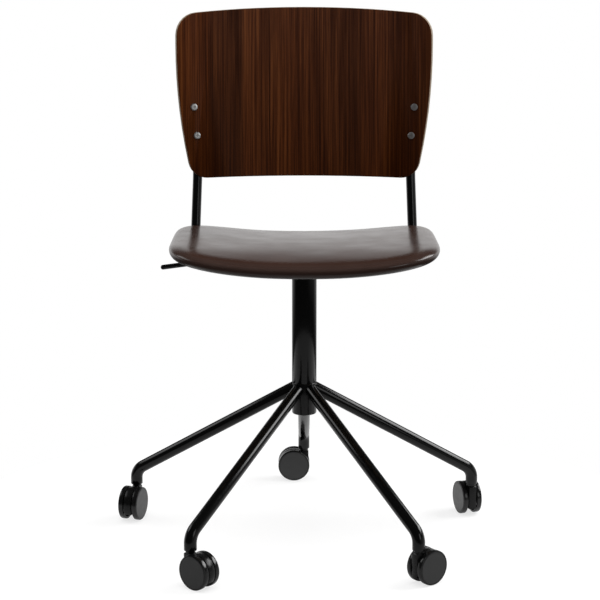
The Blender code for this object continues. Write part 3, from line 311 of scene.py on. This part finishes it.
class Finish:
    """A new material, with short ways to add the nodes that the finishes below share."""

    def __init__(self, name, roughness, metallic=0.0, specular=0.5):
        self.material = bpy.data.materials.new(name)
        self.material.use_nodes = True
        self.nodes = self.material.node_tree.nodes
        self.links = self.material.node_tree.links
        self.shader = self.nodes["Principled BSDF"]
        self.shader.inputs["Roughness"].default_value = roughness
        self.shader.inputs["Metallic"].default_value = metallic
        self.shader.inputs["Specular IOR Level"].default_value = specular
        self.where = self.nodes.new("ShaderNodeTexCoord").outputs["Object"]

    def stretched(self, scale):
        made = self.nodes.new("ShaderNodeMapping")
        made.inputs["Scale"].default_value = scale
        self.links.new(self.where, made.inputs["Vector"])
        return made.outputs["Vector"]

    def noise(self, scale, detail=4.0, roughness=0.5, source=None, distortion=0.0):
        made = self.nodes.new("ShaderNodeTexNoise")
        made.inputs["Scale"].default_value = scale
        made.inputs["Detail"].default_value = detail
        made.inputs["Roughness"].default_value = roughness
        made.inputs["Distortion"].default_value = distortion
        self.links.new(source or self.where, made.inputs["Vector"])
        return made.outputs["Fac"]

    def ramp(self, source, *stops):
        made = self.nodes.new("ShaderNodeValToRGB")
        ramp = made.color_ramp
        while len(ramp.elements) < len(stops):
            ramp.elements.new(0.5)
        for element, (at, colour) in zip(ramp.elements, stops):
            element.position = at
            element.color = (*colour, 1.0)
        self.links.new(source, made.inputs["Fac"])
        return made.outputs["Color"]

    def math(self, operation, first, second):
        made = self.nodes.new("ShaderNodeMath")
        made.operation = operation
        for socket, value in zip(made.inputs, (first, second)):
            if isinstance(value, (int, float)):
                socket.default_value = value
            else:
                self.links.new(value, socket)
        return made.outputs["Value"]

    def between(self, source, low, high, from_low=0.3, from_high=0.7):
        made = self.nodes.new("ShaderNodeMapRange")
        made.inputs["From Min"].default_value = from_low
        made.inputs["From Max"].default_value = from_high
        made.inputs["To Min"].default_value = low
        made.inputs["To Max"].default_value = high
        self.links.new(source, made.inputs["Value"])
        return made.outputs["Result"]

    def blend(self, kind, amount, first, second):
        made = self.nodes.new("ShaderNodeMix")
        made.data_type = "RGBA"
        made.blend_type = kind
        made.inputs[0].default_value = amount
        self.links.new(first, made.inputs[6])
        self.links.new(second, made.inputs[7])
        return made.outputs[2]

    def colour(self, source):
        self.links.new(source, self.shader.inputs["Base Color"])

    def roughness(self, source):
        self.links.new(source, self.shader.inputs["Roughness"])

    def bump(self, height, distance, strength=1.0):
        made = self.nodes.new("ShaderNodeBump")
        made.inputs["Strength"].default_value = strength
        made.inputs["Distance"].default_value = distance
        self.links.new(height, made.inputs["Height"])
        self.links.new(made.outputs["Normal"], self.shader.inputs["Normal"])


def black_coat():
    """Satin black powder coat with a faint orange peel."""
    finish = Finish("black_powder_coat", 0.15, specular=0.35)
    cloud = finish.noise(9.0, 3.0)
    finish.colour(finish.ramp(cloud, (0.35, (0.0012, 0.0012, 0.0013)), (0.70, (0.0020, 0.0020, 0.0019))))
    finish.roughness(finish.between(finish.noise(25.0, 2.0), 0.13, 0.18))
    finish.bump(finish.noise(700.0, 1.0), 0.00001, 0.01)
    return finish.material


def plain_steel(name, roughness, tone):
    """Bright steel with fine machining marks."""
    finish = Finish(name, roughness, metallic=1.0)
    marks = finish.noise(1.0, 4.0, 0.6, finish.stretched((900, 900, 120)))
    dark = tuple(tone * 0.86 for _ in range(3))
    light = (tone, tone * 0.995, tone * 0.985)
    finish.colour(finish.ramp(marks, (0.35, dark), (0.68, light)))
    finish.roughness(finish.between(marks, roughness - 0.06, roughness + 0.08))
    finish.bump(marks, 0.00002, 0.4)
    return finish.material


def moulded(name, tone, roughness, specular):
    """Moulded black plastic, with the fine texture of its tool."""
    finish = Finish(name, roughness, specular=specular)
    cloud = finish.noise(60.0, 4.0)
    finish.colour(finish.ramp(cloud, (0.3, (tone * 0.85,) * 3), (0.7, (tone * 1.12,) * 3)))
    finish.roughness(finish.between(finish.noise(180.0, 3.0), roughness - 0.05, roughness + 0.05))
    finish.bump(finish.noise(2800.0, 2.0), 0.00003, 0.4)
    return finish.material


def rubber():
    finish = Finish("black_rubber", 0.80, specular=0.25)
    cloud = finish.noise(120.0, 5.0)
    finish.colour(finish.ramp(cloud, (0.3, (0.011, 0.011, 0.011)), (0.7, (0.018, 0.018, 0.018))))
    finish.bump(finish.noise(1500.0, 3.0), 0.0001, 0.5)
    return finish.material


def walnut():
    """Dark walnut veneer: upright bands, streaks and pores under a satin lacquer."""
    finish = Finish("walnut_veneer", 0.38, specular=0.08)
    bands = finish.noise(1.0, 2.0, 0.5, finish.stretched((24, 2, 0.15)))
    streaks = finish.noise(1.0, 3.0, 0.6, finish.stretched((320, 20, 0.25)))
    fibres = finish.noise(1.0, 3.0, 0.6, finish.stretched((1100, 90, 4)))
    tone = finish.math("ADD", finish.math("MULTIPLY", bands, 0.35), finish.math("MULTIPLY", streaks, 0.65))
    wood = finish.ramp(
        tone,
        (0.34, (0.020, 0.0042, 0.0006)),
        (0.46, (0.043, 0.0096, 0.0013)),
        (0.56, (0.074, 0.0185, 0.0030)),
        (0.70, (0.150, 0.0450, 0.0095)),
    )
    # The board's own broad bands, from its left edge to its right.
    place = finish.nodes.new("ShaderNodeSeparateXYZ")
    finish.links.new(finish.where, place.inputs["Vector"])
    wander = finish.math("MULTIPLY", finish.math("SUBTRACT", bands, 0.5), 0.03)
    across = finish.between(finish.math("ADD", place.outputs["X"], wander), 0.0, 1.0, -0.22, 0.22)
    broad = finish.ramp(across, *((at, (tone,) * 3) for at, tone in WALNUT_BANDS))
    wood = finish.blend("MULTIPLY", 1.0, wood, broad)
    pores = finish.ramp(fibres, (0.36, (0.55, 0.50, 0.48)), (0.50, (1.0, 1.0, 1.0)))
    finish.colour(finish.blend("MULTIPLY", 0.75, wood, pores))
    finish.roughness(finish.between(streaks, 0.38, 0.50))
    finish.bump(fibres, 0.00012, 0.25)
    return finish.material


def plywood_edge():
    """The board's pale edge, with thin darker glue lines between its plies."""
    finish = Finish("plywood_edge", 0.55, specular=0.3)
    across = finish.nodes.new("ShaderNodeUVMap")
    across.uv_map = "plies"
    parts = finish.nodes.new("ShaderNodeSeparateXYZ")
    finish.links.new(across.outputs["UV"], parts.inputs["Vector"])
    plies = finish.math("FRACT", finish.math("MULTIPLY", parts.outputs["Y"], 7.0), 0.0)
    fibres = finish.noise(1.0, 4.0, 0.6, finish.stretched((700, 700, 160)))
    wood = finish.ramp(fibres, (0.3, (0.20, 0.150, 0.100)), (0.7, (0.30, 0.240, 0.175)))
    lines = finish.ramp(
        plies,
        (0.04, (0.55, 0.50, 0.44)),
        (0.16, (1.0, 1.0, 1.0)),
        (0.90, (0.93, 0.92, 0.90)),
    )
    finish.colour(finish.blend("MULTIPLY", 1.0, wood, lines))
    finish.bump(fibres, 0.00015, 0.4)
    return finish.material


def birch_ply():
    """The seat's shell: pale moulded plywood, seen only from below."""
    finish = Finish("shell_plywood", 0.50, specular=0.35)
    grain = finish.noise(1.0, 5.0, 0.6, finish.stretched((160, 5, 160)), 0.3)
    finish.colour(finish.ramp(grain, (0.3, (0.34, 0.23, 0.13)), (0.7, (0.50, 0.37, 0.24))))
    finish.roughness(finish.between(grain, 0.44, 0.56))
    finish.bump(grain, 0.0001, 0.3)
    return finish.material


def leather():
    """Smooth dark brown leather with a fine grain and a soft sheen at low angles."""
    finish = Finish("brown_leather", 0.24, specular=0.38)
    cloud = finish.noise(11.0, 4.0, 0.55)
    hide = finish.ramp(cloud, (0.30, (0.0270, 0.0140, 0.0105)), (0.72, (0.0370, 0.0200, 0.0155)))
    finish.colour(hide)
    finish.roughness(finish.between(finish.noise(22.0, 2.0), 0.22, 0.26))
    finish.bump(finish.noise(600.0, 1.0, 0.5), 0.00001, 0.05)
    return finish.material


BLACK = black_coat()
SCREW_STEEL = plain_steel("screw_steel", 0.55, 0.62)
INNER_STEEL = plain_steel("turned_steel", 0.34, 0.55)
HOOD_BLACK = moulded("hood_plastic", 0.004, 0.26, 0.25)
WHEEL_FACE = moulded("wheel_face", 0.007, 0.36, 0.70)
RIM_GLOSS = moulded("wheel_rim", 0.004, 0.20, 0.45)
BUSH_BLACK = moulded("bush_plastic", 0.020, 0.50, 0.35)
RUBBER = rubber()
WALNUT = walnut()
PLY_EDGE = plywood_edge()
SHELL_PLY = birch_ply()
LEATHER = leather()

SLOT_FINISH = {
    "black_paint": BLACK,
    "steel": INNER_STEEL,
    "black_plastic": BUSH_BLACK,
    "wheel_plastic": WHEEL_FACE,
    "rubber": RUBBER,
    "walnut": WALNUT,
    "plywood": SHELL_PLY,
    "leather": LEATHER,
}
for part in frame["record"]["subparts"]:
    node = frame["nodes"][part["node"]]
    node.data.materials.clear()
    node.data.materials.append(SLOT_FINISH[part["material_slot"]])


# Base

def legs():
    foot = Vector((LEG_CIRCLE, 0, LEG_FOOT))
    bend = Vector((LEG_CIRCLE, 0, LEG_BEND_HEIGHT))
    apex = Vector((0, 0, LEG_APEX))
    root = bend.lerp(apex, 1 - 0.6 * HUB_RADIUS / LEG_CIRCLE)
    first = pipe("leg", [foot, bend, root], [0, LEG_BEND_RADIUS, 0], LEG_RADIUS, 0.0009, 40, 14)
    for name, azimuth in LEG_AZIMUTHS.items():
        leg = copy_of(first, f"leg_tube_{name}")
        put(leg, Matrix.Translation(AXIS) @ Matrix.Rotation(math.radians(azimuth), 4, "Z"))
        done(leg, BLACK, "base", "black_paint", f"leg_{name}")
    bpy.data.objects.remove(first)


def hub_and_column():
    """Two sleeves whose profiles run round their metal, so that the bores stay open."""
    hub = turned(
        "hub_sleeve",
        [
            (HUB_BORE_TOP, HUB_TOP),
            (HUB_BORE_FOOT, HUB_BOTTOM),
            (HUB_RADIUS - 0.0020, HUB_BOTTOM),
            (HUB_RADIUS - 0.0006, HUB_BOTTOM + 0.0006),
            (HUB_RADIUS, HUB_BOTTOM + 0.0022),
            (HUB_RADIUS, HUB_TOP - 0.0004),
            (HUB_RADIUS - 0.0004, HUB_TOP),
            (HUB_BORE_TOP, HUB_TOP),
        ],
    )
    put(hub, Matrix.Translation(AXIS))
    done(hub, BLACK, "base", "black_paint", "hub")
    shoulder = HUB_TOP + GAP
    column = turned(
        "column_sleeve",
        [
            (COLUMN_BORE, COLUMN_TOP),
            (HUB_RADIUS - 0.0006, COLUMN_TOP),
            (HUB_RADIUS, COLUMN_TOP - 0.0008),
            (HUB_RADIUS, shoulder + 0.0006),
            (HUB_RADIUS - 0.0004, shoulder),
            (SPIGOT_TOP, shoulder),
            (SPIGOT_FOOT, COLUMN_FOOT),
            (ROD_HOLE, COLUMN_FOOT),
            (ROD_HOLE, COLUMN_FOOT + COLUMN_FLOOR),
            (SPIGOT_BORE, COLUMN_FOOT + COLUMN_FLOOR),
            (SPIGOT_BORE, shoulder + 0.0040),
            (COLUMN_BORE, shoulder + 0.0060),
            (COLUMN_BORE, COLUMN_TOP),
        ],
    )
    put(column, Matrix.Translation(AXIS))
    done(column, BLACK, "base", "black_paint", "column_tube")


# Casters

def wheel_shape():
    """One wheel about Z, from its recessed inner side to its flat outer face."""
    w = WHEEL_WIDTH
    r = WHEEL_RADIUS
    return turned(
        "wheel",
        [
            (AXLE_HOLE, w - WHEEL_OUTER_WALL),
            (AXLE_HOLE, 0.0),
            (WHEEL_BOSS, 0.0),
            (WHEEL_BOSS, WHEEL_RECESS),
            (r - WHEEL_RIM, WHEEL_RECESS),
            (r - WHEEL_RIM, 0.0),
            (r - 0.0009, 0.0),
            (r - 0.0002, 0.0004),
            (r, 0.0012),
            (r, w - 0.0016),
            (r - 0.0004, w - 0.0007),
            (r - 0.0013, w - 0.0002),
            (r - 0.0022, w - 0.0002),
            (r - 0.0024, w - 0.0006),
            (r - 0.0030, w - 0.0006),
            (r - 0.0032, w),
            (0.0040, w),
        ],
        72,
    )


def two_tone(wheel):
    """The face inside the groove is satin, and the rim outside it is glossy."""
    wheel.data.materials.append(RIM_GLOSS)
    wheel.data.materials.append(WHEEL_FACE)
    for face in wheel.data.polygons:
        reach = max(math.hypot(*wheel.data.vertices[i].co.xy) for i in face.vertices)
        outer = face.center.z > WHEEL_WIDTH - 0.0010
        face.material_index = 1 if outer and reach < WHEEL_RADIUS - 0.0023 else 0


def casters():
    wheel = wheel_shape()
    two_tone(wheel)
    on_axle = Matrix.Rotation(math.radians(-90), 4, "X")
    for name, azimuth in LEG_AZIMUTHS.items():
        foot = Matrix.Rotation(math.radians(azimuth), 4, "Z") @ Vector((LEG_CIRCLE, 0, 0))
        turn = Matrix.Rotation(math.radians(TRAIL_AZIMUTHS[name]), 4, "Z")
        stand = Matrix.Translation(AXIS + foot) @ turn
        for side, way in (("left", 1), ("right", -1)):
            made = copy_of(wheel, f"wheel_{name}_{side}")
            flip = Matrix.Rotation(0.0 if way > 0 else math.pi, 4, "X")
            shift = Matrix.Translation((CASTER_TRAIL, way * WHEEL_INNER_FACE, WHEEL_RADIUS))
            put(made, stand @ shift @ on_axle @ flip)
            body = f"wheel_{name}_{side}"
            done(made, RIM_GLOSS, body, "wheel_plastic", f"caster_wheel_{name}_{side}", smooth=30.0)
        hood = bevelled(of_node(f"caster_hood_{name}", f"hood_{name}"), 0.0006, 2, 30.0)
        done(hood, HOOD_BLACK, f"caster_{name}", "black_plastic", f"caster_hood_{name}")
        stem = bevelled(of_node(f"caster_stem_{name}", f"stem_{name}"), 0.0003, 2, 30.0)
        done(stem, BLACK, "base", "black_paint", f"caster_stem_{name}")
    bpy.data.objects.remove(wheel)


# Seat

def seat_middle(x, y):
    return SEAT_HEIGHT - SEAT_SLOPE * y + SEAT_DISH * x * x


def seat_point(turn, inset):
    """A point of the seat's plan at this turn, drawn in from the edge's middle line."""
    across, along = math.cos(turn), math.sin(turn)
    power = 2 / (SEAT_REAR_EXPONENT if along > 0 else SEAT_FRONT_EXPONENT)
    depth = SEAT_REAR - SEAT_WIDEST if along > 0 else SEAT_FRONT + SEAT_WIDEST
    x = math.copysign(abs(across) ** power, across) * (SEAT_HALF_WIDTH - inset)
    y = math.copysign(abs(along) ** power, along) * (depth - inset) + SEAT_WIDEST
    return x, y


def seat_rings():
    """(inset, lift) of each ring of the cushion, from the middle of its top round to its underside."""
    half = SEAT_THICKNESS / 2
    rings = [(SEAT_HALF_WIDTH * share, half) for share in (0.985, 0.9, 0.78, 0.66, 0.54, 0.42, 0.31, 0.22)]
    steps = 12
    for k in range(steps + 1):
        angle = math.pi / 2 * (1 - k / steps)
        reach = math.cos(angle) ** (2 / SEAT_ROLL_POWER)
        rings.append((SEAT_ROLL * (1 - reach) - half, half * math.sin(angle)))
    for k in range(1, 8):
        angle = math.pi / 2 * k / 8
        rings.append((-half * math.cos(angle), -half * math.sin(angle)))
    rings += [(0.0, -half), (SEAT_RIM, -half), (SEAT_RIM + 0.0005, -half + 0.002)]
    rings += [(SEAT_HALF_WIDTH * share, -half + 0.0095) for share in (0.2, 0.5, 0.8, 0.985)]
    return rings


def cushion():
    """The upholstered pad: a ring drawn in and out over the seat's plan, closed underneath."""
    sides = 128
    rings = seat_rings()
    nothing_selected()
    bpy.ops.mesh.primitive_circle_add(vertices=sides, radius=1.0)
    pad = bpy.context.object
    shape(pad)
    for k in range(1, len(rings)):
        grow((0, 0, 1.0), 1.0, (0, 0, k))
    bpy.ops.mesh.select_all(action="SELECT")
    bpy.ops.mesh.fill_holes(sides=0)
    bpy.ops.object.mode_set(mode="OBJECT")
    for point in pad.data.vertices:
        inset, lift = rings[round(point.co.z)]
        x, y = seat_point(math.atan2(point.co.y, point.co.x), inset)
        dome = max(0.0, (1 - (x / SEAT_HALF_WIDTH) ** 2) * (1 - (y / SEAT_REAR) ** 2))
        soft = noise.noise(Vector((x * 14, y * 14, 2.0))) * 0.0004
        padding = SEAT_CROWN * dome + soft if lift > 0 else 0.0
        point.co = (x, y, seat_middle(x, y) + lift + padding)
    shape(pad)
    bpy.ops.mesh.normals_make_consistent(inside=False)
    bpy.ops.object.mode_set(mode="OBJECT")
    pad.name = "seat_cushion"
    put(pad, Matrix.Translation(AXIS))
    hold(pad)
    fine = pad.modifiers.new("rounding", "SUBSURF")
    fine.levels = 1
    fine.render_levels = 1
    bpy.ops.object.modifier_apply(modifier=fine.name)
    done(pad, LEATHER, "seat", "leather", "seat_pad", smooth=60.0)


# Back

def board_point(across, up, out=0.0):
    angle = across / BOARD_BEND_RADIUS
    radius = BOARD_BEND_RADIUS + out
    y = radius * math.cos(angle) - BOARD_BEND_RADIUS + up * math.tan(BOARD_RECLINE)
    return Vector((radius * math.sin(angle), BOARD_BOTTOM_Y + y, BOARD_BOTTOM_HEIGHT + up))


def board_normal(across):
    angle = across / BOARD_BEND_RADIUS
    lean = math.cos(angle) * math.tan(BOARD_RECLINE)
    return Vector((math.sin(angle), math.cos(angle), -lean)).normalized()


def depth_in_board(point):
    """How far a point lies from the board's middle layer, in thicknesses."""
    local = point - AXIS
    y = local.y - BOARD_BOTTOM_Y - (local.z - BOARD_BOTTOM_HEIGHT) * math.tan(BOARD_RECLINE)
    return (math.hypot(local.x, y + BOARD_BEND_RADIUS) - BOARD_BEND_RADIUS) / BOARD_THICKNESS


def back_board():
    board = of_node("back_board", "backrest")
    board.data.materials.append(WALNUT)
    board.data.materials.append(PLY_EDGE)
    layers = board.data.uv_layers.new(name="plies")
    for loop in board.data.loops:
        layers.data[loop.index].uv = (0.0, depth_in_board(board.data.vertices[loop.vertex_index].co) + 0.5)
    for face in board.data.polygons:
        depths = [depth_in_board(board.data.vertices[i].co) for i in face.vertices]
        face.material_index = 1 if max(map(abs, depths)) < 0.40 else 0
    done(board, WALNUT, "seat", "walnut", "back_board")


def posts_and_screws():
    drop = BOARD_THICKNESS / 2 + GAP
    for name, side in (("left", -1), ("right", 1)):
        spots = []
        for level in ("lower", "upper"):
            across, up = SCREWS[level]
            out = board_normal(side * across)
            middle = board_point(side * across, up)
            spots.append(middle + out * (drop + POST_RADIUS))
            turn = (-out).to_track_quat("Z", "Y").to_matrix().to_4x4()
            screw = screw_shape(f"screw_{level}_{name}", drop)
            put(screw, Matrix.Translation(AXIS + middle) @ turn)
            done(screw, SCREW_STEEL, "seat", "steel", f"back_screw_{level}_{name}", smooth=25.0)
        lower, upper = spots
        along = (upper - lower).normalized()
        corners = [
            Vector((side * POST_START_X, POST_START_Y, POST_RUN_HEIGHT)),
            Vector((side * POST_ELBOW_X, POST_START_Y, POST_RUN_HEIGHT)),
            Vector((side * POST_REAR.x, POST_REAR.y, POST_REAR.z)),
            lower - along * POST_KNEE_DROP,
            upper + along * POST_END_RISE,
        ]
        radii = [0, POST_BEND_RADIUS, POST_BEND_RADIUS, POST_KNEE_RADIUS, 0]
        post = pipe(f"post_{name}", corners, radii, POST_RADIUS, 0.0010, 36, 12)
        put(post, Matrix.Translation(AXIS))
        done(post, BLACK, "seat", "black_paint", f"back_post_{name}")


def screw_shape(name, seat_height):
    """A low round head with a small hex socket, and the shank behind it, about Z."""
    head = SCREW_HEAD_RADIUS
    thick = SCREW_HEAD_THICKNESS
    top = seat_height + thick
    screw = turned(
        name,
        [
            (SCREW_SHANK_RADIUS - 0.0001, seat_height - SCREW_SHANK_LENGTH),
            (SCREW_SHANK_RADIUS, seat_height),
            (head - 0.0003, seat_height),
            (head, seat_height + 0.0004),
            (head, seat_height + thick * 0.50),
            (head * 0.96, seat_height + thick * 0.74),
            (head * 0.86, top - thick * 0.08),
            (head * 0.72, top),
            (SCREW_SHANK_RADIUS - 0.0001, top),
        ],
        48,
    )
    nothing_selected()
    bpy.ops.mesh.primitive_cylinder_add(
        vertices=6,
        radius=SCREW_HEX_RADIUS,
        depth=2 * SCREW_HEX_DEPTH,
        location=(0, 0, top),
    )
    socket = bpy.context.object
    hold(screw)
    cut = screw.modifiers.new("hex socket", "BOOLEAN")
    cut.operation = "DIFFERENCE"
    cut.solver = "EXACT"
    cut.object = socket
    bpy.ops.object.modifier_apply(modifier=cut.name)
    bpy.data.objects.remove(socket)
    return screw


def small_fittings():
    """Rounded copies of the lever, the gas cylinder, the seat's shell and the mechanism."""
    for node, finish, body, slot, width in (
        ("lever", BLACK, "height_lever", "black_paint", 0.0004),
        ("gas_cylinder", BLACK, "seat", "black_paint", 0.0004),
        ("seat_shell", SHELL_PLY, "seat", "plywood", 0.0006),
        ("mechanism_housing", BLACK, "seat", "black_paint", 0.0005),
        ("front_rail", BLACK, "seat", "black_paint", 0.0008),
        ("rear_rail", BLACK, "seat", "black_paint", 0.0008),
    ):
        made = bevelled(of_node(node, f"{node}_finished"), width, 2, 30.0)
        done(made, finish, body, slot, node)


legs()
hub_and_column()
casters()
cushion()
back_board()
posts_and_screws()
small_fittings()


# Camera, light and floor

def camera_of_photo():
    lens = bpy.data.cameras.new("camera")
    lens.sensor_width = 36.0
    lens.lens = lens.sensor_width * FOCAL_LENGTH / PHOTO_WIDTH
    lens.clip_end = 50.0
    camera = bpy.data.objects.new("camera", lens)
    camera.location = (AXIS.x + CAMERA_SHIFT, AXIS.y - CAMERA_DISTANCE, CAMERA_HEIGHT)
    camera.rotation_euler = (math.pi / 2 - CAMERA_TILT, 0.0, 0.0)
    bpy.context.scene.collection.objects.link(camera)
    bpy.context.scene.camera = camera


def soft_lamps():
    """Large soft lamps. The fill and the top lamp leave no highlight of their own."""
    for name, place, size, power, mirrored in (
        ("fill_light", (-0.9, -2.8, 2.2), (2.0, 1.6), 24.0, False),
        ("top_light", (0.0, -0.2, 2.7), (2.4, 2.4), 48.0, False),
        ("front_right_light", (2.0, -2.6, 1.3), (1.2, 1.4), 9.0, True),
        ("left_light", (-2.0, 0.5, 1.7), (1.6, 1.0), 12.0, True),
        ("right_light", (2.0, 0.5, 1.7), (2.0, 1.2), 55.0, True),
    ):
        lamp = bpy.data.lights.new(name, "AREA")
        lamp.shape = "RECTANGLE"
        lamp.size, lamp.size_y = size
        lamp.energy = power
        holder = bpy.data.objects.new(name, lamp)
        holder.location = place
        aim = LIGHTS_AIM - holder.location
        holder.rotation_euler = aim.to_track_quat("-Z", "Y").to_euler()
        holder.visible_glossy = mirrored
        bpy.context.scene.collection.objects.link(holder)


def surroundings():
    """White behind the chair as the camera sees it, a soft sky that lights it, and what it mirrors."""
    world = bpy.data.worlds.new("studio")
    bpy.context.scene.world = world
    world.use_nodes = True
    nodes, links = world.node_tree.nodes, world.node_tree.links
    way = nodes.new("ShaderNodeSeparateXYZ")
    links.new(nodes.new("ShaderNodeTexCoord").outputs["Generated"], way.inputs["Vector"])

    def ranged(source, from_low, from_high, low, high):
        made = nodes.new("ShaderNodeMapRange")
        for socket, value in zip(list(made.inputs)[1:5], (from_low, from_high, low, high)):
            socket.default_value = value
        links.new(source, made.inputs["Value"])
        return made.outputs["Result"]

    def joined(operation, first, second):
        made = nodes.new("ShaderNodeMath")
        made.operation = operation
        links.new(first, made.inputs[0])
        links.new(second, made.inputs[1])
        return made.outputs["Value"]

    # Reflections show the white paper behind the chair, a pale right side and a dim room elsewhere.
    path = nodes.new("ShaderNodeLightPath")
    behind = ranged(way.outputs["Y"], 0.0, 0.5, 0.0, 1.0)
    below_top = ranged(way.outputs["Z"], 0.12, 0.27, 1.0, 0.0)
    above_floor = ranged(way.outputs["Z"], -0.40, -0.10, 0.0, 1.0)
    upright = joined("MULTIPLY", below_top, above_floor)
    paper = joined("MULTIPLY", behind, upright)
    mirrored = joined("MAXIMUM", path.outputs["Is Glossy Ray"], path.outputs["Is Transmission Ray"])
    right_side = joined("MULTIPLY", ranged(way.outputs["X"], 0.30, 1.0, 0.0, 0.40), upright)
    shown = joined("MAXIMUM", ranged(paper, 0.0, 1.0, 0.05, 1.0), right_side)
    reflected = joined("MULTIPLY", mirrored, shown)
    seen = joined("MAXIMUM", path.outputs["Is Camera Ray"], reflected)
    lit = ranged(joined("MAXIMUM", path.outputs["Is Camera Ray"], mirrored), 0.0, 1.0, 1.0, 0.0)
    sky = ranged(way.outputs["Z"], -0.25, 0.05, 0.06, 0.25)
    diffuse = joined("MULTIPLY", lit, sky)
    background = nodes["Background"]
    background.inputs["Color"].default_value = (1.0, 1.0, 1.0, 1.0)
    links.new(joined("ADD", seen, diffuse), background.inputs["Strength"])


def white_floor():
    """A pale disc under the chair, white to the camera apart from the chair's shadow. In reflections it also
    glows, more strongly towards the back: a painted reflection.
    """
    nothing_selected()
    bpy.ops.mesh.primitive_circle_add(
        vertices=96,
        radius=FLOOR_RADIUS,
        fill_type="NGON",
        location=(AXIS.x, AXIS.y, -0.0005),
    )
    floor = bpy.context.object
    floor.name = "floor"
    finish = Finish("white_floor", 0.9, specular=0.0)
    cloud = finish.noise(3.0, 2.0)
    finish.colour(finish.ramp(cloud, (0.3, (0.29, 0.29, 0.29)), (0.7, (0.31, 0.31, 0.31))))
    light = finish.nodes.new("ShaderNodeLightPath")
    mirrored = finish.math("MAXIMUM", light.outputs["Is Glossy Ray"], light.outputs["Is Transmission Ray"])
    seen = finish.math("MULTIPLY", light.outputs["Is Camera Ray"], 0.72)
    place = finish.nodes.new("ShaderNodeSeparateXYZ")
    finish.links.new(finish.where, place.inputs["Vector"])
    # Painted reflection: seen in reflections, the floor glows faintly at its front and more brightly towards the
    # back, though it is no lamp.
    painted_reflection_towards_back = finish.between(place.outputs["Y"], 0.04, 0.50, -0.40, 0.15)
    seen = finish.math("MAXIMUM", seen, finish.math("MULTIPLY", mirrored, painted_reflection_towards_back))
    finish.shader.inputs["Emission Color"].default_value = (1.0, 1.0, 1.0, 1.0)
    finish.links.new(seen, finish.shader.inputs["Emission Strength"])
    floor.data.materials.append(finish.material)


camera_of_photo()
soft_lamps()
surroundings()
white_floor()
bpy.context.scene.view_settings.view_transform = "Standard"
